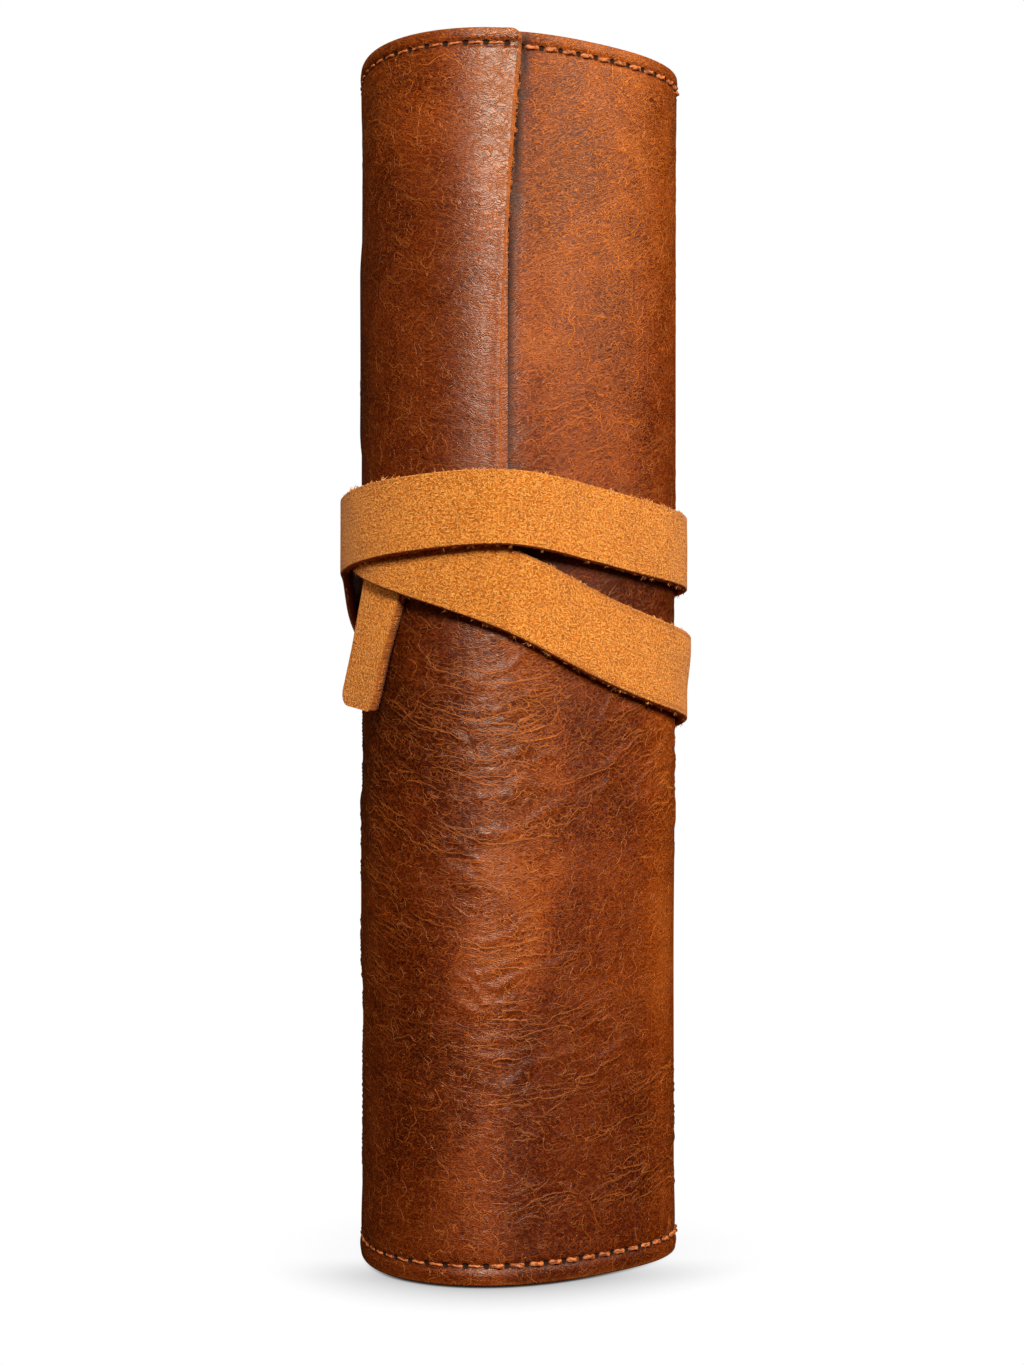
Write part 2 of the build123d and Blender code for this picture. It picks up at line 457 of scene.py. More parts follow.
@dataclass(frozen=True)
class EdgeProfile:
    """The outline of a layer of leather across its width: two faces and rounded edges."""

    low: float
    high: float
    rounding: float = 0.5
    step: float = 1.0
    hem_step: float = 0.45
    hem_width: float = 8.0

    def half(self) -> tuple[Array, Array]:
        """The outer half of the loop, from the low edge to the high one.

        Returns:
            Heights, and depths as a share of the thickness: a quarter ellipse at each
            edge and depth 0 between them.
        """
        turn = np.radians([72.0, 50.0, 28.0, 10.0])
        low = self.low + self.rounding * (1 - np.sin(turn))
        flat_low, flat_high = self.low + self.rounding, self.high - self.rounding
        hem = min(self.hem_width, (flat_high - flat_low) / 3)
        hems = max(2, round(hem / self.hem_step))
        mids = max(2, round((flat_high - flat_low - 2 * hem) / self.step))
        flat = np.concatenate([
            np.linspace(flat_low, flat_low + hem, hems, endpoint=False),
            np.linspace(flat_low + hem, flat_high - hem, mids, endpoint=False),
            np.linspace(flat_high - hem, flat_high, hems + 1),
        ])
        high = self.high - self.rounding * (1 - np.sin(turn[::-1]))
        depth = 0.5 - 0.5 * np.cos(turn)
        return np.concatenate([low, flat, high]), np.concatenate([depth, 0 * flat, depth[::-1]])

    def loop(self) -> tuple[Array, Array]:
        """The whole loop: the outer half, and the inner half back down."""
        heights, depths = self.half()
        return np.concatenate([heights, heights[::-1]]), np.concatenate([depths, 1 - depths[::-1]])


def band_profile(width: float, rounding: float) -> tuple[Array, Array]:
    """The outline of a strap: places across it from its middle, and depths."""
    half = width / 2
    return EdgeProfile(-half, half, rounding, step=0.8, hem_step=0.5, hem_width=2.5).loop()


def inner_side(depths: Array) -> Array:
    """The mark of a layer's inner face, for every column."""
    return smooth(depths * 3 - 1.6)[None, :]


def cut_rim(depths: Array, across: Array, half_width: float, reach: float) -> Array:
    """The mark of a strap's cut edges, from 0 to 1."""
    return np.clip(2 * np.minimum(depths, 1 - depths) + bump(np.abs(across), half_width, reach), 0, 1)


def closed_tubes(name: str, points: Array, material: bpy.types.Material) -> bpy.types.Object:
    """Puts many short tubes with closed ends into one mesh.

    Args:
        name: the piece's name.
        points: the tubes' points by tube, ring and side.
        material: the finish.

    Returns:
        The new object, at the origin.
    """
    count, rings, sides = points.shape[:3]
    one = np.arange(rings * sides).reshape(rings, sides)
    ahead = np.roll(one, -1, axis=1)
    tube = np.stack([one[:-1], ahead[:-1], ahead[1:], one[1:]], -1).reshape(-1, 4)
    ends = [one[0][::-1], one[-1]]
    shift = np.arange(count) * rings * sides
    faces = [f for k in shift for f in (*(tube + k).tolist(), *((e + k).tolist() for e in ends))]
    mesh = bpy.data.meshes.new(name)
    mesh.from_pydata(points.reshape(-1, 3).tolist(), [], faces)
    mesh.polygons.foreach_set("use_smooth", np.ones(len(faces), bool))
    mesh.materials.append(material)
    mesh.update()
    return add_object(name, mesh)


@dataclass(frozen=True)
class FrayedEdge:
    """Short bent fibres that stand out of a cut edge, each a closed needle, in small tufts."""

    finish: bpy.types.Material
    seed: int
    spacing: float = 1.3
    tuft: int = 3
    longest: float = 1.0
    shortest: float = 0.18
    rooted: float = 0.3  # how deep inside the leather a fibre starts
    thick: float = 0.10
    sides: int = 4

    def grow(self, name: str, edge: Array, outward: Array) -> bpy.types.Object:
        """Sets fibres along an edge.

        Args:
            name: the piece's name.
            edge: points along the edge, in metres.
            outward: the direction out of the edge at each point.

        Returns:
            The fibres as one object.
        """
        rng = np.random.default_rng(self.seed)
        run = np.concatenate([[0.0], np.cumsum(np.linalg.norm(np.diff(edge, axis=0), axis=1))]) / MM
        tufts = rng.uniform(0.4, run[-1] - 0.4, max(3, round(run[-1] / self.spacing)))
        at = np.clip(np.repeat(tufts, self.tuft) + rng.normal(0, 0.16, len(tufts) * self.tuft), 0, run[-1])
        root = np.stack([np.interp(at, run, edge[:, k]) for k in range(3)], -1) / MM
        out = np.stack([np.interp(at, run, outward[:, k]) for k in range(3)], -1)
        along = np.stack([np.interp(at, run, np.gradient(edge, axis=0)[:, k]) for k in range(3)], -1)
        out /= np.linalg.norm(out, axis=1, keepdims=True)
        along /= np.linalg.norm(along, axis=1, keepdims=True)
        third = np.cross(out, along)
        size = np.repeat(rng.random(len(tufts)) ** 2.2, self.tuft) * rng.uniform(0.5, 1.0, len(at))
        reach = (self.shortest + (self.longest - self.shortest) * size)[:, None]
        lean = rng.uniform(-0.9, 0.9, (len(at), 1))
        rise = rng.uniform(-0.4, 0.4, (len(at), 1))
        t = np.array([0.0, 0.35, 0.7, 1.0])[None, :, None]
        heading = out + 0.5 * lean * along + rise * third
        start = root[:, None, :] - self.rooted * out[:, None, :]
        core = start + t * ((reach + self.rooted) * heading)[:, None, :]
        core = core + t**2 * (reach * lean * along)[:, None, :]
        turn = (np.arange(self.sides) * 2 * math.pi / self.sides)[None, None, :, None]
        ring = np.cos(turn) * along[:, None, None, :] + np.sin(turn) * third[:, None, None, :]
        points = core[:, :, None, :] + self.thick * (1 - 0.75 * t[..., None]) * ring
        return closed_tubes(name, points * MM, self.finish)


def fray_both_edges(
    band: str, points: Array, finish: bpy.types.Material, seed: int, spacing: float
) -> list[bpy.types.Object]:
    """Sets fibres along the two long edges of a strap.

    Args:
        band: the end of the pieces' names.
        points: the strap's grid, along it and round it.
        finish: the fibres' finish.
        seed: the lower edge's seed; the upper edge has the next one.
        spacing: distance between tufts, in millimetres.

    Returns:
        The lower edge's fibres and the upper edge's.
    """
    pieces = []
    top = points.shape[1] // 2 - 1
    for k, (side, row, inner) in enumerate((("low", 0, 6), ("high", top, top - 6))):
        fray = FrayedEdge(finish, seed + k, spacing=spacing)
        outward = points[:, row] - points[:, inner]
        pieces.append(fray.grow(f"strap_fray_{side}_{band}", points[:, row], outward))
    return pieces


# --------------------------------------------------------------------------- shader nodes

Value = object  # a socket, a number or a colour


def srgb(red: int, green: int, blue: int) -> Colour:
    """A linear colour from the 0 to 255 values of a colour chart.

    Args:
        red: red from 0 to 255.
        green: green.
        blue: blue.

    Returns:
        The colour in linear light.
    """
    parts = [c / 255.0 for c in (red, green, blue)]
    linear = [c / 12.92 if c <= 0.04045 else ((c + 0.055) / 1.055) ** 2.4 for c in parts]
    return (linear[0], linear[1], linear[2], 1.0)


class Graph:
    """Places and joins shader nodes in one node tree."""

    def __init__(self, tree: bpy.types.NodeTree) -> None:
        """Keeps the tree."""
        self.tree = tree

    def add(self, kind: str, inputs: Optional[dict[str, Value]] = None, **settings: object) -> bpy.types.Node:
        """A new node with these settings and inputs.

        Args:
            kind: the node's type.
            inputs: values or sockets by input name.
            settings: the node's own properties.

        Returns:
            The node.
        """
        node = self.tree.nodes.new(kind)
        for name, value in settings.items():
            setattr(node, name, value)
        for name, value in (inputs or {}).items():
            self.put(node.inputs[name], value)
        return node

    def put(self, socket: bpy.types.NodeSocket, value: Value) -> None:
        """Links a socket, or sets a number or colour on it.

        Args:
            socket: the input.
            value: a socket to link, or a constant.
        """
        if isinstance(value, bpy.types.NodeSocket):
            self.tree.links.new(value, socket)
        else:
            socket.default_value = value

    def math(self, operation: str, a: Value, b: Value = 0.0, clamp: bool = False) -> Value:
        """One sum on numbers.

        Args:
            operation: the sum's name.
            a: its first number.
            b: its second.
            clamp: True to hold the result from 0 to 1.

        Returns:
            The result.
        """
        node = self.add("ShaderNodeMath", operation=operation, use_clamp=clamp)
        for socket, value in zip(node.inputs, (a, b)):
            self.put(socket, value)
        return node.outputs[0]

    def times(self, a: Value, b: Value) -> Value:
        """The product of two numbers."""
        return self.math("MULTIPLY", a, b)

    def plus(self, a: Value, b: Value, clamp: bool = False) -> Value:
        """The sum of two numbers."""
        return self.math("ADD", a, b, clamp=clamp)

    def minus(self, a: Value, b: Value) -> Value:
        """The first number less the second."""
        return self.math("SUBTRACT", a, b)

    def larger(self, a: Value, b: Value) -> Value:
        """The larger of two numbers."""
        return self.math("MAXIMUM", a, b)

    def vectors(self, operation: str, *values: Value, scale: Optional[Value] = None) -> Value:
        """One sum on vectors.

        Args:
            operation: the sum's name.
            values: its vectors.
            scale: the number that SCALE multiplies by.

        Returns:
            A vector, or a number from LENGTH.
        """
        node = self.add("ShaderNodeVectorMath", operation=operation)
        for socket, value in zip(node.inputs, values):
            self.put(socket, value)
        if scale is not None:
            self.put(node.inputs["Scale"], scale)
        return node.outputs["Value" if operation == "LENGTH" else "Vector"]

    def mix(self, share: Value, a: Value, b: Value, blend: str = "MIX") -> Value:
        """Two colours mixed by a share.

        Args:
            share: how much of the second colour.
            a: the first colour.
            b: the second.
            blend: how they are blended.

        Returns:
            The mixed colour.
        """
        node = self.add("ShaderNodeMix", data_type="RGBA", blend_type=blend)
        for place, value in ((0, share), (6, a), (7, b)):
            self.put(node.inputs[place], value)
        return node.outputs[2]

    def remap(self, value: Value, low: float, high: float, start: float = 0.0, end: float = 1.0) -> Value:
        """Eases a number from one range to another and holds it there.

        Args:
            value: the number.
            low: the value that gives start.
            high: the value that gives end.
            start: the result at low.
            end: the result at high.

        Returns:
            The result.
        """
        inputs = {"Value": value, "From Min": low, "From Max": high, "To Min": start, "To Max": end}
        node = self.add("ShaderNodeMapRange", inputs, interpolation_type="SMOOTHSTEP")
        return node.outputs["Result"]

    def noise(self, vector: Value, scale: Value, detail: float = 2.0, rough: float = 0.5) -> Value:
        """Smooth random values from 0 to 1."""
        inputs = {"Vector": vector, "Scale": scale, "Detail": detail, "Roughness": rough}
        return self.add("ShaderNodeTexNoise", inputs).outputs["Fac"]

    def contour(
        self, vector: Value, scale: tuple[float, float, float], width: float, apart: float = 0.05
    ) -> Value:
        """Thin lines, equally wide all along, where stretched noise passes its middle value.

        The distance to the line is the noise's distance from its middle over its slope.
        The slope comes from two more looks at the noise, a little way off.

        Args:
            vector: coordinates in millimetres.
            scale: noise cells per millimetre across and up.
            width: half the line's width in millimetres.
            apart: how far off the two looks are, in millimetres.

        Returns:
            1 on the lines and 0 off them.
        """
        looks = []
        for shift in ((0.0, 0.0, 0.0), (apart, 0.0, 0.0), (0.0, apart, 0.0)):
            moved = self.vectors("ADD", vector, shift)
            looks.append(self.noise(self.stretched(moved, scale), 1.0, 1.0, 0.5))
        rises = [self.minus(look, looks[0]) for look in looks[1:]]
        both = self.add("ShaderNodeCombineXYZ", {"X": rises[0], "Y": rises[1]}).outputs[0]
        steepest = self.math("DIVIDE", self.vectors("LENGTH", both), apart)
        slope = self.larger(steepest, 0.02 * scale[1])
        away = self.math("ABSOLUTE", self.minus(looks[0], 0.5))
        return self.remap(self.math("DIVIDE", away, slope), 0.35 * width, 1.15 * width, 1.0, 0.0)

    def stretched(self, vector: Value, scale: tuple[float, float, float], turn: float = 0.0) -> Value:
        """A pattern's coordinates, stretched and turned in its plane."""
        node = self.add("ShaderNodeMapping", {"Vector": vector, "Scale": scale, "Rotation": (0.0, 0.0, turn)})
        return node.outputs[0]

    def warped(self, vector: Value, scale: float, amount: float) -> Value:
        """Coordinates pushed about by smooth noise, by up to half of amount each way.

        Args:
            vector: coordinates.
            scale: the noise's cells per unit.
            amount: twice the furthest push.

        Returns:
            The moved coordinates.
        """
        noise = self.add("ShaderNodeTexNoise", {"Vector": vector, "Scale": scale, "Detail": 2.0})
        centred = self.vectors("SUBTRACT", noise.outputs["Color"], (0.5, 0.5, 0.5))
        return self.vectors("MULTIPLY_ADD", centred, (amount, amount, 0.0), vector)

    def surface_mm(self) -> Value:
        """The piece's own UV map, in millimetres."""
        uv = self.add("ShaderNodeUVMap", uv_map="surface").outputs[0]
        return self.vectors("SCALE", uv, scale=1.0 / MM)

    def mark(self, name: str) -> Value:
        """A number kept on the mesh."""
        return self.add("ShaderNodeAttribute", attribute_name=name).outputs["Fac"]

    def drooped(self, place: Value, lower: float = 0.0) -> Value:
        """The surface coordinates with heights counted from the sagging folds, and moved down.

        Args:
            place: surface coordinates in millimetres.
            lower: how far the pattern moves down.

        Returns:
            The moved coordinates.
        """
        across = self.add("ShaderNodeSeparateXYZ", {"Vector": place}).outputs["X"]
        up = self.plus(self.mark("sagged"), lower)
        return self.add("ShaderNodeCombineXYZ", {"X": across, "Y": up}).outputs[0]

    def group(self, tree: bpy.types.NodeTree, inputs: dict[str, Value]) -> bpy.types.Node:
        """A shared group, placed with its own values."""
        return self.add("ShaderNodeGroup", inputs, node_tree=tree)


def new_group(
    name: str,
    inputs: Sequence[tuple[str, str, Value]],
    outputs: Sequence[str],
    wire: Callable[[Graph, dict[str, Value]], dict[str, Value]],
) -> bpy.types.NodeTree:
    """Builds a shared node group.

    Args:
        name: the group's name.
        inputs: its inputs: name, socket kind and default.
        outputs: its outputs, each a number.
        wire: makes the nodes from the inputs and gives a value for each output.

    Returns:
        The group's node tree.
    """
    tree = bpy.data.node_groups.new(name, "ShaderNodeTree")
    for label, kind, default in inputs:
        socket = tree.interface.new_socket(name=label, in_out="INPUT", socket_type=kind)
        if kind != "NodeSocketVector":
            socket.default_value = default
    for label in outputs:
        tree.interface.new_socket(name=label, in_out="OUTPUT", socket_type="NodeSocketFloat")
    graph = Graph(tree)
    source, sink = graph.add("NodeGroupInput"), graph.add("NodeGroupOutput")
    results = wire(graph, {label: source.outputs[label] for label, _, _ in inputs})
    for label, value in results.items():
        graph.put(sink.inputs[label], value)
    return tree


def wire_cracks(graph: Graph, given: dict[str, Value]) -> dict[str, Value]:
    """Cracked lines in two sizes, running every way and kept in short stretches.

    Fine warping makes the lines jagged, and patches of a broader noise break them up.
    Each size gives the lines' scale and width, the patches' scale, and the noise from
    which and up to which a patch fades in, to its full strength.

    Args:
        graph: the group's graph.
        given: its inputs by name.

    Returns:
        Its outputs by name.
    """
    place = graph.warped(given["Vector"], 1.0, 0.7)
    cracks: Value = 0.0
    sizes = ((0.15, 0.14, 0.16, 0.48, 0.59, 0.9), (0.42, 0.12, 0.34, 0.49, 0.59, 0.8))
    for scale, width, patch, low, high, weight in sizes:
        where = graph.remap(graph.noise(given["Vector"], patch, 1.0, 0.5), low, high, 0.0, weight)
        line = graph.times(graph.contour(place, (scale, scale, 1.0), width), where)
        cracks = graph.larger(cracks, line)
    return {"Cracks": cracks}


def wire_wrinkles(graph: Graph, given: dict[str, Value]) -> dict[str, Value]:
    """Long thin wrinkles along the sheet and shorter ones between them, in patches.

    Each size gives the lines' scales and width, and the noise from which and up to which
    a patch fades in, to its full strength.

    Args:
        graph: the group's graph.
        given: its inputs by name.

    Returns:
        Its outputs by name.
    """
    bent = graph.warped(graph.warped(given["Vector"], 0.12, 4.0), 0.9, 0.7)
    wrinkles: Value = 0.0
    sizes = (((0.036, 0.20, 1.0), 0.16, 0.44, 0.56, 1.0), ((0.11, 0.56, 1.0), 0.13, 0.43, 0.56, 0.7))
    for scale, width, low, high, weight in sizes:
        lane = graph.stretched(bent, (0.07, 0.15, 1.0), 0.3)
        where = graph.remap(graph.noise(lane, 1.0, 1.0, 0.5), low, high, 0.0, weight)
        line = graph.times(graph.contour(bent, scale, width), where)
        wrinkles = graph.larger(wrinkles, line)
    return {"Wrinkles": graph.times(wrinkles, given["Amount"])}


def wire_grain(graph: Graph, given: dict[str, Value]) -> dict[str, Value]:
    """Fine grain: short wavy ridges that run across, bend, and close into small loops.

    The ridges are a sine of the height, shifted by a smooth noise of a few ridges.

    Args:
        graph: the group's graph.
        given: its inputs by name.

    Returns:
        Its outputs by name.
    """
    place = given["Vector"]
    parts = graph.add("ShaderNodeSeparateXYZ", {"Vector": place})
    swirl = graph.times(graph.noise(place, 0.75, 1.0, 0.5), given["Swirl"])
    drift = graph.times(graph.noise(place, 0.09, 2.0, 0.5), 9.0)
    rows = graph.math("DIVIDE", parts.outputs["Y"], given["Pitch"])
    turns = graph.plus(graph.plus(rows, swirl), drift)
    wave = graph.math("SINE", graph.times(turns, 2 * math.pi))
    strong = graph.remap(graph.noise(place, 0.7, 2.0, 0.6), 0.33, 0.62, 0.40, 1.0)
    return {"Grain": graph.times(wave, strong)}


def wire_fibres(graph: Graph, given: dict[str, Value]) -> dict[str, Value]:
    """Short curled fibres and the dark gaps between them.

    Both are contour lines of the same noise, looked at a few cells apart, and patches of
    a finer noise cut them into short curls.

    Args:
        graph: the group's graph.
        given: its inputs by name.

    Returns:
        Its outputs by name.
    """
    strands_and_gaps = []
    for shift, cut, low, high in ((0.0, 1.3, 0.38, 0.50), (37.0, 1.1, 0.44, 0.56)):
        moved = graph.vectors("ADD", given["Vector"], (shift, shift, 0.0))
        place = graph.vectors("SCALE", moved, scale=given["Scale"])
        bent = graph.warped(place, 1.2, 0.5)
        where = graph.remap(graph.noise(place, cut, 1.0, 0.5), low, high)
        strands_and_gaps.append(graph.times(graph.contour(bent, (0.85, 0.85, 1.0), 0.15), where))
    strands, gaps = strands_and_gaps
    return {"Strands": strands, "Pits": graph.times(gaps, graph.minus(1.0, strands))}


def wire_holes(graph: Graph, given: dict[str, Value]) -> dict[str, Value]:
    """Needle holes: a spot every stitch along a row at a height, and the groove they lie in.

    A hole is where the distance to the nearest stitch end, from the sum of the squares
    along and up, is under half a millimetre.

    Args:
        graph: the group's graph.
        given: its inputs by name.

    Returns:
        Its outputs by name.
    """
    parts = graph.add("ShaderNodeSeparateXYZ", {"Vector": given["Vector"]})
    turns = graph.math("DIVIDE", parts.outputs["X"], given["Pitch"])
    nearest = graph.minus(graph.math("FRACT", graph.plus(turns, 0.5)), 0.5)
    along = graph.math("ABSOLUTE", graph.times(nearest, given["Pitch"]))
    up = graph.math("ABSOLUTE", graph.minus(parts.outputs["Y"], given["Height"]))
    flattened = graph.times(along, 0.8)
    squares = graph.plus(graph.math("POWER", flattened, 2.0), graph.math("POWER", up, 2.0))
    hole = graph.remap(graph.math("SQRT", squares), 0.30, 0.62, 1.0, 0.0)
    return {"Hole": hole, "Groove": graph.remap(up, 0.3, 1.1, 1.0, 0.0)}


@dataclass
class Effects:
    """The node groups that more than one finish uses."""

    cracks: bpy.types.NodeTree = field(init=False)
    wrinkles: bpy.types.NodeTree = field(init=False)
    grain: bpy.types.NodeTree = field(init=False)
    fibres: bpy.types.NodeTree = field(init=False)
    holes: bpy.types.NodeTree = field(init=False)

    def __post_init__(self) -> None:
        """Builds each group once."""
        vector, number = "NodeSocketVector", "NodeSocketFloat"
        place = ("Vector", vector, None)
        amount, scale = ("Amount", number, 1.0), ("Scale", number, 1.0)
        ridges = [place, ("Pitch", number, 0.7), ("Swirl", number, 5.0)]
        row = [place, ("Pitch", number, STITCH_PITCH), ("Height", number, STITCH_ROWS[1])]
        self.cracks = new_group("short_cracks", [place], ["Cracks"], wire_cracks)
        self.wrinkles = new_group("cross_wrinkles", [place, amount], ["Wrinkles"], wire_wrinkles)
        self.grain = new_group("wavy_grain", ridges, ["Grain"], wire_grain)
        self.fibres = new_group("short_fibres", [place, scale], ["Strands", "Pits"], wire_fibres)
        self.holes = new_group("needle_holes", row, ["Hole", "Groove"], wire_holes)


# --------------------------------------------------------------------------- finishes


def blank_material(name: str) -> tuple[bpy.types.Material, Graph, bpy.types.Node]:
    """A material with its shader in place and nothing else.

    Args:
        name: the material's name.

    Returns:
        The material, its graph and its shader.
    """
    material = bpy.data.materials.new(name)
    material.use_nodes = True
    graph = Graph(material.node_tree)
    return material, graph, material.node_tree.nodes["Principled BSDF"]


def set_relief(
    graph: Graph, shader: bpy.types.Node, base: Value, parts: Sequence[tuple[Value, float]] = ()
) -> None:
    """Joins a height in millimetres to the shader through a bump node.

    Args:
        graph: the material's graph.
        shader: its shader.
        base: the height to start from.
        parts: masks to add to it, each with its height in millimetres.
    """
    height = base
    for mask, weight in parts:
        height = graph.plus(height, graph.times(mask, weight))
    relief = graph.add("ShaderNodeBump", {"Height": height, "Distance": MM, "Strength": 1.0})
    graph.put(shader.inputs["Normal"], relief.outputs[0])


def set_constants(shader: bpy.types.Node, **constants: Value) -> None:
    """Sets numbers and colours that are the same all over; a space in a name is written _."""
    for name, value in constants.items():
        shader.inputs[name.replace("_", " ")].default_value = value


@dataclass(frozen=True)
class PullUpLeather:
    """Waxed brown leather that turns orange where it is creased.

    Two colours multiply the leather's own as painted shade, following the sheet's shade
    mark: a redder tint, then a darkening.  Wax tints its highlights.
    Strengths are shares, and heights are in millimetres.
    """

    name: str
    # The dark of the tone, the grain's hollows and the fibres' gaps, and also painted shadow under the
    # wrinkles and in the stitch grooves.
    shadow: Colour = srgb(72, 21, 2)
    brown: Colour = srgb(148, 70, 18)
    tan: Colour = srgb(180, 99, 38)
    crest: Colour = srgb(236, 130, 42)
    # Painted shade: the darkening and the redder tint that the shade mark multiplies in.
    painted_shade_dark: Colour = (0.17, 0.10, 0.05, 1.0)
    painted_shade_tint: Colour = (1.08, 0.78, 0.48, 1.0)
    wax: Colour = (1.0, 0.87, 0.75, 1.0)
    raw_edge: Colour = srgb(176, 96, 38)
    flesh: Colour = srgb(140, 80, 40)
    # Painted shadow, for the needle holes and where almost no light gets in.
    painted_deep_shadow: Colour = srgb(22, 8, 3)
    roughness: float = 0.40
    specular: float = 0.46
    lines: float = 0.58
    strands: float = 0.34
    pits: float = 0.22
    grain_pitch: float = 0.52
    grain_swirl: float = 4.6
    grain_dark: float = 0.62
    grain_light: float = 0.40
    groove_dark: float = 0.45
    grain_height: float = 0.013
    line_height: float = 0.11
    hole_height: float = -0.35
    groove_height: float = -0.10
    stitch_rows: tuple[float, float] = STITCH_ROWS

    def material(self, effects: Effects) -> bpy.types.Material:
        """Builds the finish from the shared groups.

        Args:
            effects: the shared groups.

        Returns:
            The material.
        """
        material, graph, shader = blank_material(self.name)
        place = graph.surface_mm()
        sagging = graph.drooped(place)
        bent = graph.warped(place, 0.06, 14.0)
        broad = graph.noise(bent, 0.024, 3.0, 0.5)
        cloud = graph.noise(bent, 0.12, 3.0, 0.5)
        fibres = graph.group(effects.fibres, {"Vector": place, "Scale": 0.8})
        ridges = {"Vector": sagging, "Pitch": self.grain_pitch, "Swirl": self.grain_swirl}
        grain = graph.group(effects.grain, ridges).outputs["Grain"]
        cracks = graph.group(effects.cracks, {"Vector": place}).outputs["Cracks"]
        amount = graph.plus(0.25, graph.times(graph.mark("crease"), 0.75), clamp=True)
        wrinkles, painted_shadow_below = (
            graph.group(effects.wrinkles, {"Vector": where, "Amount": amount}).outputs["Wrinkles"]
            for where in (sagging, graph.drooped(place, 0.45))
        )
        lines = graph.larger(cracks, wrinkles)
        holes, grooves = self.stitching(graph, effects, place)

        depth = graph.plus(graph.times(broad, 0.65), graph.times(cloud, 0.35))
        colour = graph.mix(graph.remap(depth, 0.36, 0.56, 0.30, 1.0), self.shadow, self.brown)
        colour = graph.mix(graph.remap(depth, 0.47, 0.68, 0.0, 1.0), colour, self.tan)
        colour = graph.mix(graph.remap(grain, 0.0, -0.9, 0.0, self.grain_dark), colour, self.shadow)
        colour = graph.mix(graph.times(fibres.outputs["Pits"], self.pits), colour, self.shadow)
        colour = graph.mix(graph.remap(grain, 0.1, 1.0, 0.0, self.grain_light), colour, self.crest)
        # Painted shadow: a copy of the wrinkles, a little lower, darkens under each one.
        colour = graph.mix(graph.times(painted_shadow_below, 0.6), colour, self.shadow)
        # Painted shade from the shade mark: tinted redder, darkened, and the orange lines dimmed.
        shade = graph.mark("shade")
        colour = graph.mix(graph.remap(shade, 0.15, 0.75), colour, self.painted_shade_tint, blend="MULTIPLY")
        colour = graph.mix(graph.times(shade, 0.95), colour, self.painted_shade_dark, blend="MULTIPLY")
        bright = graph.larger(lines, graph.times(fibres.outputs["Strands"], self.strands))
        bright = graph.times(bright, graph.minus(1.0, graph.times(shade, 0.60)))
        colour = graph.mix(graph.times(bright, self.lines), colour, self.crest)
        # Painted shadow where almost no light gets in.
        colour = graph.mix(graph.times(graph.mark("hidden"), 0.9), colour, self.painted_deep_shadow)
        flesh = graph.mix(graph.times(fibres.outputs["Strands"], 0.5), self.flesh, self.raw_edge)
        colour = graph.mix(graph.mark("inside"), colour, flesh)
        patches = graph.remap(graph.noise(place, 0.6, 3.0), 0.3, 0.6, 0.25, 0.9)
        colour = graph.mix(graph.times(graph.mark("rim"), patches), colour, self.raw_edge)
        # Painted shade in the groove along each row of stitches.
        colour = graph.mix(graph.times(grooves, self.groove_dark), colour, self.shadow)
        # Painted shadow in the needle holes.
        colour = graph.mix(graph.times(holes, 0.95), colour, self.painted_deep_shadow)
        graph.put(shader.inputs["Base Color"], colour)

        gloss = graph.plus(self.roughness, graph.times(graph.minus(cloud, 0.5), 0.25))
        gloss = graph.plus(gloss, graph.times(lines, 0.15))
        dull = graph.larger(graph.larger(graph.mark("inside"), holes), graph.mark("hidden"))
        gloss = graph.plus(gloss, graph.times(dull, 0.5), clamp=True)
        graph.put(shader.inputs["Roughness"], gloss)
        set_constants(shader, Specular_IOR_Level=self.specular, Specular_Tint=self.wax)
        heights = ((lines, self.line_height), (holes, self.hole_height), (grooves, self.groove_height))
        set_relief(graph, shader, graph.times(grain, self.grain_height), heights)
        return material

    def stitching(self, graph: Graph, effects: Effects, place: Value) -> tuple[Value, Value]:
        """Masks of the needle holes, and of the grooves that they lie in, in every row.

        Args:
            graph: the material's graph.
            effects: the shared groups.
            place: surface coordinates in millimetres.

        Returns:
            The two masks.
        """
        holes: Value = 0.0
        grooves: Value = 0.0
        for height in self.stitch_rows:
            row = graph.group(effects.holes, {"Vector": place, "Pitch": STITCH_PITCH, "Height": height})
            holes = graph.larger(holes, row.outputs["Hole"])
            grooves = graph.larger(grooves, row.outputs["Groove"])
        return holes, grooves


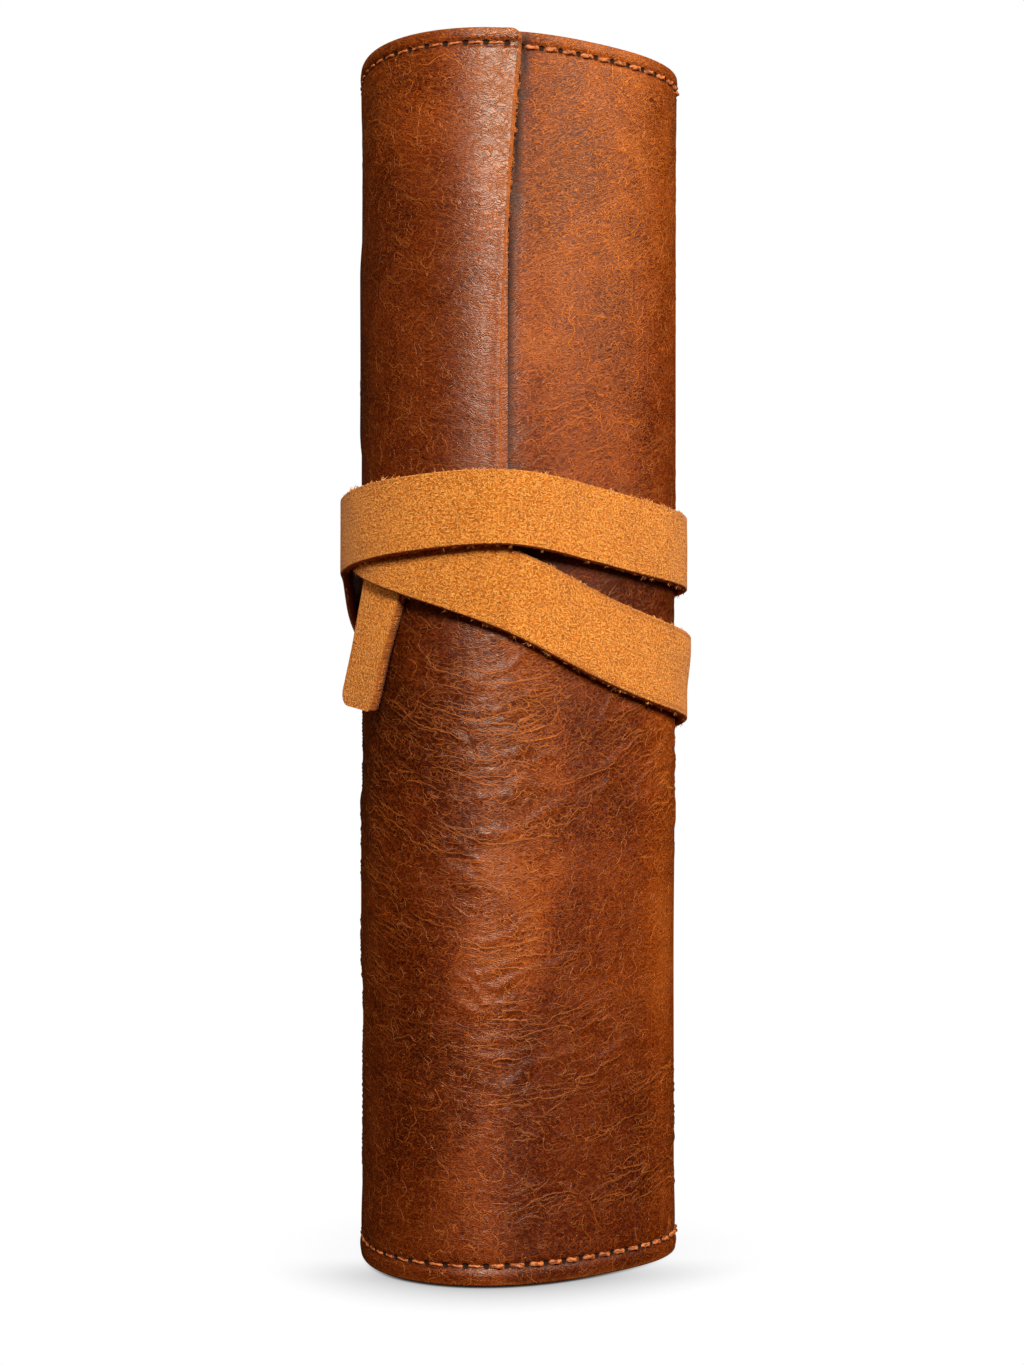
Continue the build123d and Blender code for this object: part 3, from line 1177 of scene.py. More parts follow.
@dataclass(frozen=True)
class Suede:
    """Napped strap leather: short fibres on its face, smooth dark grain on its back."""

    name: str
    nap: Colour = srgb(203, 117, 37)
    light: Colour = srgb(248, 178, 88)
    pit: Colour = srgb(138, 64, 12)
    back: Colour = srgb(104, 52, 22)
    cut: Colour = srgb(150, 82, 34)
    fibre_scale: float = 1.35
    curl_pitch: float = 0.76
    curl_swirl: float = 4.6
    curl_height: float = 0.03
    strand_height: float = 0.10

    def material(self, effects: Effects) -> bpy.types.Material:
        """Builds the finish from the shared groups.

        Args:
            effects: the shared groups.

        Returns:
            The material.
        """
        material, graph, shader = blank_material(self.name)
        place = graph.surface_mm()
        fibres = graph.group(effects.fibres, {"Vector": place, "Scale": self.fibre_scale})
        strands, pits = fibres.outputs["Strands"], fibres.outputs["Pits"]
        ridges = {"Vector": place, "Pitch": self.curl_pitch, "Swirl": self.curl_swirl}
        curls = graph.group(effects.grain, ridges).outputs["Grain"]
        tone = graph.noise(place, 0.10, 3.0, 0.6)
        colour = graph.mix(graph.remap(tone, 0.36, 0.68, 0.0, 0.30), self.nap, self.pit)
        colour = graph.mix(graph.remap(curls, 0.0, -0.9, 0.0, 0.40), colour, self.pit)
        colour = graph.mix(graph.remap(curls, 0.1, 0.9, 0.0, 0.30), colour, self.light)
        colour = graph.mix(graph.times(pits, 0.62), colour, self.pit)
        colour = graph.mix(graph.times(strands, 0.66), colour, self.light)
        cut = graph.mix(graph.times(strands, 0.5), self.cut, self.nap)
        colour = graph.mix(graph.mark("rim"), colour, cut)
        colour = graph.mix(graph.mark("inside"), colour, self.back)
        graph.put(shader.inputs["Base Color"], colour)
        set_constants(shader, Roughness=0.95, Specular_IOR_Level=0.1, Sheen_Weight=0.08, Sheen_Roughness=0.5)
        heights = ((strands, self.strand_height), (pits, -self.strand_height))
        set_relief(graph, shader, graph.times(curls, self.curl_height), heights)
        return material


@dataclass(frozen=True)
class WaxedThread:
    """Copper-brown thread with a light twist."""

    name: str = "waxed_thread"
    light: Colour = srgb(206, 118, 60)
    dark: Colour = srgb(112, 50, 20)

    def material(self) -> bpy.types.Material:
        """Builds the finish: fine streaks along the twist.

        Returns:
            The material.
        """
        material, graph, shader = blank_material(self.name)
        place = graph.add("ShaderNodeTexCoord").outputs["Object"]
        streak = graph.noise(graph.stretched(place, (900.0, 900.0, 2400.0)), 1.0, 2.0, 0.5)
        tone = graph.remap(streak, 0.35, 0.65)
        graph.put(shader.inputs["Base Color"], graph.mix(tone, self.dark, self.light))
        set_constants(shader, Roughness=0.55)
        set_relief(graph, shader, graph.times(streak, 0.05))
        return material


@dataclass(frozen=True)
class FrayedFibre:
    """Loose leather fibres at a cut edge."""

    name: str
    light: Colour
    dark: Colour

    def material(self) -> bpy.types.Material:
        """Builds the finish: tones that change from fibre to fibre.

        Returns:
            The material.
        """
        material, graph, shader = blank_material(self.name)
        place = graph.add("ShaderNodeTexCoord").outputs["Object"]
        tone = graph.remap(graph.noise(place, 700.0, 1.0, 0.5), 0.35, 0.65)
        graph.put(shader.inputs["Base Color"], graph.mix(tone, self.dark, self.light))
        set_constants(shader, Roughness=0.9)
        set_relief(graph, shader, graph.times(graph.noise(place, 6000.0, 1.0, 0.5), 0.02))
        return material


@dataclass(frozen=True)
class AgedBrass:
    """Brushed brass with brown tarnish in its hollows."""

    name: str = "aged_brass"
    bright: Colour = srgb(208, 166, 92)
    tarnish: Colour = srgb(112, 76, 34)

    def material(self) -> bpy.types.Material:
        """Builds the finish: cloudy tarnish and fine scratches.

        Returns:
            The material.
        """
        material, graph, shader = blank_material(self.name)
        place = graph.add("ShaderNodeTexCoord").outputs["Object"]
        cloud = graph.noise(place, 420.0, 4.0, 0.6)
        scratch = graph.noise(graph.stretched(place, (600.0, 600.0, 9000.0)), 1.0, 2.0)
        dark = graph.remap(cloud, 0.45, 0.7)
        graph.put(shader.inputs["Base Color"], graph.mix(dark, self.bright, self.tarnish))
        set_constants(shader, Metallic=1.0)
        graph.put(shader.inputs["Roughness"], graph.remap(cloud, 0.3, 0.7, 0.25, 0.5))
        set_relief(graph, shader, graph.times(scratch, 0.01))
        return material


# --------------------------------------------------------------------------- the sheet


class Face(Enum):
    """The two faces of the sheet."""

    OUTER = 1
    INNER = -1


@dataclass
class LeatherSheet:
    """The rolled sheet, as strips that each reach across one fold."""

    plan: RollPlan
    finish: bpy.types.Material
    fibres: bpy.types.Material
    fine_column: float = 0.95
    coarse_column: float = 3.0
    fine_row: float = 0.75
    coarse_row: float = 1.6
    fine_from: int = 13  # strips from here out have the fine grid
    puffs: tuple[float, float] = (238.6, 2.0)  # heights where the hems are puffed
    puffed: tuple[float, float] = (0.16, 0.26)  # by how much, at the top and the bottom
    drawn_in: tuple[float, float] = (0.20, 0.22)  # how deep the stitch rows lie
    wave: float = 0.45
    crease_height: float = 0.30
    hollow: float = 0.20  # how far the face lies below its hems
    under_flap: tuple[float, float] = (-368.0, -225.0)  # plan angles of the turn that shows past it
    fold_rise: tuple[float, float] = (0.55, 0.42)  # slopes of the folds at the left and the right
    spring: float = 2.1
    back_folds: float = 0.95

    def lift(self, angle: Array, height: Array) -> tuple[Array, Array]:
        """How far the outer face stands off its smooth spiral, and how creased it is.

        The hems are puffed between the stitch row and the edge and drawn in at the row,
        slow waves run over the whole sheet, and creases are where stretched noise
        passes its middle value, stronger towards the bottom.

        Args:
            angle: plan angles.
            height: heights.

        Returns:
            The lift in millimetres, and the creasing from 0 to 1.
        """
        along = self.plan.arc_length(angle)
        hem = -self.drawn_in[0] * bump(height, STITCH_ROWS[0], 0.7)
        hem = hem - self.drawn_in[1] * bump(height, STITCH_ROWS[1], 0.8)
        hem = hem + self.puffed[0] * bump(height, self.puffs[0], 1.0)
        hem = hem + self.puffed[1] * bump(height, self.puffs[1], 1.2)
        away = smooth((height - 6) / 12) * smooth((self.plan.height - 5 - height) / 12)
        waves = SmoothNoise(5).layered(along / 34.0, height / 46.0, 2) - 0.5
        droop = self.sag(angle, height)
        warp = SmoothNoise(11).layered(along / 15.0, height / 9.0, 2)
        folds = SmoothNoise(23).layered(along / 19.0 + warp * 0.5, (height - droop) / 3.4 + warp * 2.0, 3)
        ridge = 1 - np.clip(np.abs(folds - 0.5) / 0.075, 0, 1)
        where = SmoothNoise(31).layered(along / 30.0, height / 26.0, 2)
        lower = 0.30 + 0.70 * smooth((132.0 - height) / 24.0)
        mask = smooth((where - 0.30) / 0.25) * lower * away
        crease = ridge**1.4 * mask
        return hem + away * (self.wave * waves - self.hollow) + self.crease_height * crease, mask

    def sag(self, angle: Array, height: Array) -> Array:
        """How far the folds rise away from the front: a hyperbola, steeper to the left.

        Each side starts level at the front and ends as a straight slope, and the slopes
        ease off towards the bottom.

        Args:
            angle: plan angles.
            height: heights.

        Returns:
            The rise in millimetres.
        """
        along = (angle - TURN * np.round(angle / TURN) + 6.0) * math.radians(1) * self.plan.radius
        slope = np.where(along < 0, *self.fold_rise) * (0.45 + 0.55 * smooth((height - 50.0) / 70.0))
        return slope * (np.sqrt(121.0 + along**2) - 11.0)

    def loose(self, angle: Array, height: Array) -> Array:
        """How far the outer turns spring out of the spiral.

        The turn under the flap does at the right, above the flap's lower part, and the
        outer turn does in two upright folds at the back left, clear of the strap.

        Args:
            angle: plan angles.
            height: heights.

        Returns:
            The distance in millimetres.
        """
        right = bump(angle, 84.0 - TURN, 72.0)
        spring = self.spring * right * smooth((height - self.plan.step_height + 1.0) / 7.0)
        fold = smooth((-91.0 - angle) / 11.0) * (1 - smooth((-112.0 - angle) / 18.0))
        upper = smooth((height - 158.0) / 10.0) * smooth((214.0 - height) / 14.0)
        lower = smooth((height - 46.0) / 14.0) * smooth((99.0 - height) / 8.0)
        return spring + self.back_folds * fold * (upper + lower)

    def turned(self, angle: Array) -> Array:
        """Plan angles, with those of the turn that shows past the flap a full turn further on."""
        return angle + np.where((angle < self.under_flap[1]) & (angle > self.under_flap[0]), TURN, 0.0)

    def painted_shade(self, angle: Array, height: Array) -> Array:
        """Painted shade: how far the leather's colour is darkened to stand in for shade.

        Most at the left, with painted shadow beside the flap's edge and between the wraps of
        the strap; some low down, a little less right under the strap; least along a painted
        lit band down the front and on the right-hand side.

        Args:
            angle: plan angles.
            height: heights.

        Returns:
            The painted shade from 0 to 1.
        """
        turned = self.turned(angle)
        upper = smooth((height - 135.0) / 20.0)
        # Painted shade at the left, less further round and near the top.
        left = smooth((12.0 * upper - 6.0 - turned) / 24.0) * (1 - 0.6 * smooth((-100.0 - turned) / 60.0))
        left = left * (1 - 0.12 * smooth((height - 180.0) / 45.0) - 0.36 * smooth((height - 210.0) / 18.0))
        # Painted shade on the right above the strap, more towards the strap and the right edge.
        right = upper * (0.14 + 0.36 * smooth((216.0 - height) / 62.0))
        right = right + 0.30 * upper * smooth((turned - 48.0) / 26.0)
        # Painted shadow beside the flap's raw edge, on the turn that shows past it.
        past = turned - self.plan.edge_angle(height)
        beside = 0.75 * bump(past, 0.6, 3.2) + 0.20 * bump(past, 0.0, 14.0)
        right = right + upper * (angle < -100.0) * beside
        # Painted shade below the strap, more towards the bottom and less at the far right.
        low = (1 - upper) * (0.80 + 0.12 * smooth((90.0 - height) / 60.0))
        low = low - 0.30 * (1 - upper) * smooth((turned - 55.0) / 20.0)
        # Painted light: a band down the front, further left lower down, gets less shade.
        lit_band = 6.0 - 23.0 * smooth((88.0 - height) / 56.0)
        low = low * (0.62 + 0.38 * smooth((np.abs(turned - lit_band) - 8.0) / 14.0))
        # Less painted shade right under the strap, where the strap's real shadow falls.
        low = low * (1 - 0.22 * bump(height, 108.0, 13.0) * bump(turned, -16.0, 30.0))
        low = low + 0.06 * (1 - upper) * smooth((56.0 - height) / 26.0)
        # Painted shadow in the gap between the wraps of the strap.
        between = smooth((turned + 12.0) / 6.0) * (1 - smooth((turned - 70.0) / 40.0))
        between = between * bump(height, 140.5 - 0.11 * turned, 8.0)
        return np.clip(0.93 * left + (right + low) * (1 - left) + between, 0, 1)

    def hidden(self, angle: Array, height: Array) -> Array:
        """Where almost no light gets in: at the flap's edge and where the wraps part.

        Args:
            angle: plan angles.
            height: heights.

        Returns:
            A mask from 0 to 1.
        """
        turned = self.turned(angle)
        past = turned - self.plan.edge_angle(height)
        edge = smooth((height - 143.0) / 3.0) * (angle < -100.0) * bump(past, 0.4, 1.7)
        part = bump(turned, 9.0, 13.0) * bump(height, 140.2, 5.0)
        left = bump(turned, -76.0, 14.0) * bump(height, 131.0, 8.0)
        return np.clip(edge + 0.8 * part + 0.8 * left, 0, 1)

    def skin(self, number: int, angles: Array, profile: EdgeProfile) -> Skin:
        """One strip of the sheet.

        One more column is worked out past each end and dropped again, so that the
        normals match across the join.

        Args:
            number: the strip's number, which is the section it starts in.
            angles: plan angles of its columns; a second row axis lets them vary with height.
            profile: its outline from the bottom to the top.

        Returns:
            The strip as a grid.
        """
        plan = self.plan
        heights, depths = profile.loop()
        columns = one_more_each_end(angles)
        if columns.ndim == 1:
            columns = columns[:, None]
        columns = np.broadcast_to(columns, (columns.shape[0], len(heights)))
        lift, mask = self.lift(columns, heights[None, :])
        radius = plan.outer(columns) + self.loose(columns, heights[None, :])
        radius = radius + lift * (1 - depths) - depths * plan.thickness(columns)
        points = plan.place(columns, radius, heights[None, :])
        normals = grid_normals(points)
        uv = np.stack([plan.arc_length(columns) * MM, np.broadcast_to(heights * MM, columns.shape)], -1)
        rim = bump(heights, profile.low, 0.9) + bump(heights, profile.high, 0.9)
        rim = np.clip(rim * (0.35 + 2 * np.minimum(depths, 1 - depths)), 0, 1)
        inside = smooth(depths * 2 - 0.5)
        marks = {"crease": mask[1:-1], "inside": inside[None, :], "rim": rim[None, :]}
        # Painted shade and painted shadow, kept on the mesh as marks for the finish.
        marks["shade"] = self.painted_shade(columns[1:-1], heights[None, :])
        marks["sagged"] = heights[None, :] - self.sag(columns[1:-1], heights[None, :])
        marks["hidden"] = self.hidden(columns[1:-1], heights[None, :])
        name = f"sheet_{number:02d}"
        return Skin(name, points[1:-1], uv[1:-1], normals[1:-1], marks, [self.finish])

    def build(self) -> None:
        """Makes every strip, then the fibres along the flap's raw edge.

        Strip 17 is made twice: in the loop as far as the middle of section 18, and by
        flap() as far as the flap's raw edge.  The two lie on one another.
        """
        plan = self.plan
        for number in range(1, plan.sections - 2):
            start = plan.sheet_start if number == 1 else plan.middle(number)
            fine = number >= self.fine_from
            angles = evenly(start, plan.middle(number + 1), self.fine_column if fine else self.coarse_column)
            profile = EdgeProfile(0.0, plan.height, step=self.fine_row if fine else self.coarse_row)
            self.dress(self.skin(number, angles, profile), number)
        for number, skin in ((17, self.flap()), (18, self.flap_foot()), (19, self.flap_tip())):
            self.dress(skin, number)
        self.frayed_flap()

    def frayed_flap(self) -> None:
        """Fibres along the flap's raw upright edge."""
        plan = self.plan
        heights = np.linspace(plan.step_height + 2.0, plan.height - 4.0, 90)
        angles = plan.edge_angle(heights)
        lift = self.lift(angles, heights)[0]
        edge = plan.place(angles, plan.outer(angles) + lift - 0.25, heights)
        ahead = plan.place(angles + 0.5, plan.outer(angles) + lift - 0.10, heights)
        fray = FrayedEdge(self.fibres, 41, spacing=0.8, tuft=4, longest=0.75, thick=0.09)
        bend_across_fold(fray.grow("flap_fray", edge, ahead - edge), plan, 17)

    def flap(self) -> Skin:
        """The strip that ends at the flap's raw upright edge, rounded above the step.

        Returns:
            The strip as a grid.
        """
        plan = self.plan
        profile = EdgeProfile(0.0, plan.height, step=self.fine_row)
        heights, depths = profile.loop()
        start, end = plan.middle(17), plan.edge_angle(heights)
        share = np.concatenate([np.linspace(0, 0.96, 62), 1 - np.array([0.022, 0.012, 0.006, 0.002, 0.0])])
        angles = start + share[:, None] * (end[None, :] - start)
        skin = self.skin(17, angles, profile)
        across = (end[None, :] - angles) * math.radians(1) * plan.radius
        raw = smooth((heights - plan.step_height) / 2.0)
        thin = np.sqrt(np.clip(1 - (1 - np.clip(across / 0.5, 0, 1)) ** 2, 0.3, 1))
        thin = 1 - (1 - thin) * raw[None, :]
        raised = 0.34 * bump(across, 0.5, 1.3) * raw[None, :] * (1 - depths)
        middle = plan.outer(angles) - plan.leather / 2
        lift = self.lift(angles, heights[None, :])[0]
        radius = middle + (0.5 - depths) * plan.leather * thin + lift * (1 - depths) + raised
        skin.points = plan.place(angles, radius, heights[None, :])
        skin.normals = grid_normals(skin.points)
        skin.marks["rim"] = np.clip(skin.marks["rim"] + bump(across, 0.0, 0.42) * raw[None, :], 0, 1)
        return skin

    @property
    def low_profile(self) -> EdgeProfile:
        """The outline of the flap's lower part."""
        return EdgeProfile(0.0, self.plan.step_height, step=self.fine_row, hem_width=6.0)

    def flap_foot(self) -> Skin:
        """The flap's lower part, from the line of its upright edge onwards.

        Returns:
            The strip as a grid.
        """
        start, end = self.plan.edge_angle(self.low_profile.loop()[0]), self.plan.middle(19)
        share = np.linspace(0, 1, 64)
        angles = start[None, :] + share[:, None] * (end - start[None, :])
        return self.skin(18, angles, self.low_profile)

    def flap_tip(self) -> Skin:
        """The flap's outer end, which carries the strap."""
        angles = evenly(self.plan.middle(19), self.plan.flap_end, self.fine_column)
        return self.skin(19, angles, self.low_profile)

    def dress(self, skin: Skin, number: int) -> None:
        """Builds a strip, hides the parts of the model that it stands for, and logs it.

        Args:
            skin: the strip.
            number: its number.
        """
        piece = skin.build()
        nodes = [f"shell_{number:02d}"] + (["shell_20"] if number == 19 else [])
        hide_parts(*nodes)
        bend_across_fold(piece, self.plan, number)
        LOG.info("%s: strip of the sheet", piece.name)


def bend_across_fold(piece: bpy.types.Object, plan: RollPlan, number: int, half_angle: float = 27.0) -> None:
    """Bakes a piece's place into its mesh.

    The places each way from the fold between one section and the next are worked out
    but not used, so nothing is blended.

    Args:
        piece: a strip of the sheet or of the pockets, or its thread.
        plan: the spiral.
        number: the first section's number.
        half_angle: how far those places lie each way from the fold, in plan degrees.
    """
    fold = plan.section_start(number + 1)
    radius = float(plan.outer(fold)) - plan.leather / 2
    start, end = plan.place(np.array([fold - half_angle, fold + half_angle]), radius, 120.0)
    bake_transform(piece)


# --------------------------------------------------------------------------- the strap


@dataclass
class WoundStrap:
    """The long strap: once round the flap, then once more over itself."""

    plan: RollPlan
    finish: bpy.types.Material
    fibres: bpy.types.Material
    width: float = 15.0
    thick: float = 2.0
    start: float = -61.0
    end: float = 555.0
    crossing_end: float = 368.0
    corner: float = 5.0
    column: float = 1.5
    half_blend: float = 24.0  # how far each way from a strip's fold its end places lie, in plan degrees; they are worked out but not used
    tuft_spacing: float = 1.3
    # For each fold: height of the centre line there and halfway to the next fold, then
    # the slack off what the strap lies on at the same two places.
    route: tuple[tuple[float, float, float, float], ...] = (
        (146.0, 142.6, 2.0, 2.3),
        (139.3, 132.7, 1.4, 0.1),
        (125.2, 120.2, 0.0, 0.1),
        (117.0, 114.0, 0.3, 0.1),
        (112.0, 113.0, 1.2, 0.6),
        (118.6, 133.6, 0.8, 2.0),
        (143.0, 145.0, 1.5, 1.3),
        (146.8, 148.1, 1.7, 0.5),
        (145.9, 143.7, 0.5, 0.2),
        (142.4, 141.4, 0.1, 0.4),
        (140.5, 140.0, 1.7, 1.6),
        (139.5, 139.5, 1.6, 1.6),
    )

    @property
    def folds(self) -> Array:
        """Plan angles of the strap's start, its folds and its end."""
        inner = [self.plan.section_start(18 + i) for i in range(len(self.route) - 2)]
        return np.array([self.start, *inner, self.end])

    def bed(self, angle: float) -> float:
        """The lowest that the inner face can lie here, on the sheet or on the first wrap.

        Args:
            angle: the plan angle.

        Returns:
            The radius on the round roll.
        """
        plan, below = self.plan, angle - TURN
        if angle <= plan.flap_end:
            return float(plan.outer(angle)) + plan.seat_gap
        if below < self.start:
            return float(plan.outer(below)) + plan.turn_gap
        if angle <= self.crossing_end:
            return float(plan.outer(below)) + plan.seat_gap + self.thick + plan.turn_gap
        if below <= plan.flap_end:
            return float(plan.outer(below)) + plan.turn_gap
        return float(plan.outer(below - TURN)) + plan.turn_gap

    @property
    def knots(self) -> Array:
        """Plan angles of the folds and of the places halfway between them."""
        folds = self.folds
        return np.sort(np.concatenate([folds, (folds[:-1] + folds[1:]) / 2]))

    def inner_radius(self, angle: Array) -> Array:
        """Inner face: a smooth curve through the bed plus the slack at each knot."""
        slack = np.array([pair[2:] for pair in self.route]).reshape(-1)[:-1]
        return hermite(self.knots, np.array([self.bed(knot) for knot in self.knots]) + slack, angle)

    def height(self, angle: Array) -> Array:
        """Height of the centre line: a smooth curve through the route."""
        return hermite(self.knots, np.array([pair[:2] for pair in self.route]).reshape(-1)[:-1], angle)

    def breadth(self, angle: Array) -> Array:
        """Width as a share of the usual width: stretched on the right, drawn in at the front."""
        return 1 + 0.13 * bump(angle, 74.0, 50.0) - 0.045 * bump(angle, 355.0, 40.0)

    def tilt(self, angle: Array, across: Array) -> Array:
        """How far the falling wrap's upper edge stands off at the right, in mm."""
        return 0.75 * bump(angle, 90.0, 20.0) * smooth((across + 3.0) / 9.0)

    def grid(self, angles: Array) -> tuple[Array, Array, Array, Array]:
        """Points of the band around its centre line.

        A place w across the band is w times the slope's sine back along the roll and w
        times its cosine up, so the band stays flat against the roll as it climbs.

        Args:
            angles: plan angles of the centre line.

        Returns:
            Points, UV places, depths and distances across.
        """
        across, depths = band_profile(self.width, 0.35)
        radius = self.inner_radius(angles) + self.thick / 2
        scale = np.radians(1) * radius * self.plan.roundness(angles)
        slope = np.arctan(np.gradient(self.height(angles), angles) / scale)
        near = np.clip((self.end - angles) * scale / self.corner, 0, 1)
        reach = 1 - (self.corner / (self.width / 2)) * (1 - np.sqrt(np.clip(1 - (1 - near) ** 2, 0, 1)))
        w = across[None, :] * (reach * self.breadth(angles))[:, None]
        reached = (radius * self.plan.roundness(angles))[:, None]
        angle = angles[:, None] - np.degrees(np.sin(slope)[:, None] * w / reached)
        height = self.height(angles)[:, None] + np.cos(slope)[:, None] * w
        face = self.inner_radius(angle) + self.thick * (1 - depths[None, :]) + self.tilt(angle, w)
        waver = 0.12 * (SmoothNoise(3).layered(angle / 9.0, across[None, :] / 6.0, 2) - 0.5)
        points = self.plan.place(angle, face + waver * (1 - depths[None, :]), height)
        along = np.interp(angles, *self.lengths())
        uv = np.stack([np.broadcast_to(along[:, None], w.shape), w], -1) * MM
        return points, uv, depths, w

    def lengths(self) -> tuple[Array, Array]:
        """Plan angles and the distance along the centre line at each.

        Returns:
            The plan angles and the distances.
        """
        fine = np.arange(self.start, self.end + 1.0, 1.0)
        points = self.plan.place(fine, self.inner_radius(fine) + self.thick / 2, self.height(fine)) / MM
        steps = np.linalg.norm(np.diff(points, axis=0), axis=1)
        return fine, np.concatenate([[0.0], np.cumsum(steps)])

    def build(self) -> None:
        """Makes the strips of the strap, with their fibres, and hides the model's parts that they stand for.
        """
        folds = self.folds
        bodies = [f"fold_{n}" for n in (17, 18, 19, 20)] + [f"wrap_{k:02d}" for k in range(5, 12)]
        middles = (folds[:-1] + folds[1:]) / 2
        last = len(bodies) - 2
        for i in range(last + 1):
            start = self.start if i == 0 else middles[i]
            end = self.end if i == last else middles[i + 1]
            angles = evenly(start, end, self.column)
            if i == last:
                angles = np.concatenate([angles[:-6], np.linspace(angles[-6], end, 16)[:-1], [end - 0.02]])
            before, after = angles[0] - (angles[1] - angles[0]), min(angles[-1] + 0.01, self.end)
            points, uv, depths, across = self.grid(np.concatenate([[before], angles, [after]]))
            rim = cut_rim(depths, across[1:-1], self.width / 2, 0.35) * 0.6
            marks = {"inside": inner_side(depths), "rim": rim}
            normals = grid_normals(points)[1:-1]
            name = f"strap_{i + 1:02d}"
            piece = Skin(name, points[1:-1], uv[1:-1], normals, marks, [self.finish]).build()
            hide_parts(name, *([f"strap_{i + 2:02d}"] if i == last else []))
            frays = fray_both_edges(name[-2:], points[1:-1], self.fibres, 60 + 2 * i, self.tuft_spacing)
            fold = folds[i + 1]
            bend = np.array([fold - self.half_blend, fold + self.half_blend])
            ends = self.plan.place(bend, self.inner_radius(fold) + self.thick / 2, self.height(fold))
            for part in (piece, *frays):
                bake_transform(part)
            LOG.info("%s: strip of the strap with its frayed edges", piece.name)


@dataclass
class StrapTail:
    """The strap's short free end, which hangs from under the first wrap."""

    strap: WoundStrap
    finish: bpy.types.Material
    angle: float = -43.5
    width: float = 11.0
    bottom: float = 110.5
    top: float = 147.0
    lean: float = 10.5
    turn: float = 9.0
    corner: float = 3.0
    stand_off: float = 2.8
    free_below: float = 134.0  # the height where it comes out from under the wrap
    tuft_spacing: float = 1.0

    def build(self) -> None:
        """Makes the tail: flat on the roll at its top, then leaning left and standing off."""
        plan, strap = self.strap.plan, self.strap
        across, depths = band_profile(self.width, 0.3)
        tip = self.bottom + 5 * np.linspace(0.92, 0.002, 14) ** 1.4
        down = np.concatenate([np.linspace(self.top, self.bottom + 5, 40), tip])
        near = np.clip((down - self.bottom) / self.corner, 0, 1)
        cut = self.corner * (1 - np.sqrt(np.clip(1 - (1 - near) ** 2, 0, 1)))
        low_side, high_side = -self.width / 2 + cut, self.width / 2 - cut * 0.3
        share = (across / self.width + 0.5)[None, :]
        w = low_side[:, None] * (1 - share) + high_side[:, None] * share
        free = np.clip(self.free_below - down, 0, None)[:, None]
        lean = math.tan(math.radians(self.lean))
        off = smooth(free / 14.0)
        a = np.radians(self.angle - self.turn * off)
        radius = float(plan.outer(self.angle)) + plan.seat_gap
        base = plan.place(self.angle, radius, 0.0)[:2] / MM
        stand = self.stand_off * (free / (self.free_below - self.bottom)) ** 1.2 + 0.15
        sag = -(w**2) / (2 * radius) * (1 - off)
        proud = stand + sag + strap.thick * (1 - depths)[None, :]
        w = w - free * lean
        x = base[0] + w * np.cos(a) + proud * np.sin(a)
        y = base[1] + w * np.sin(a) - proud * np.cos(a)
        z = down[:, None] - w * lean * 0.9 - free * lean * lean
        points = np.stack([x, y, z], -1) * MM
        uv = np.stack([np.broadcast_to(-down[:, None], w.shape), w], -1) * MM
        rim = cut_rim(depths, across, self.width / 2, 0.3)
        marks = {"inside": inner_side(depths), "rim": rim[None, :]}
        piece = Skin("strap_tail_end", points, uv, grid_normals(points), marks, [self.finish]).build()
        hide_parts("strap_tail")
        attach(piece, "fold_17")
        for fray in fray_both_edges("tail", points[:-6], strap.fibres, 90, self.tuft_spacing):
            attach(fray, "fold_17")
        LOG.info("%s: free end of the strap", piece.name)


# --------------------------------------------------------------------------- thread


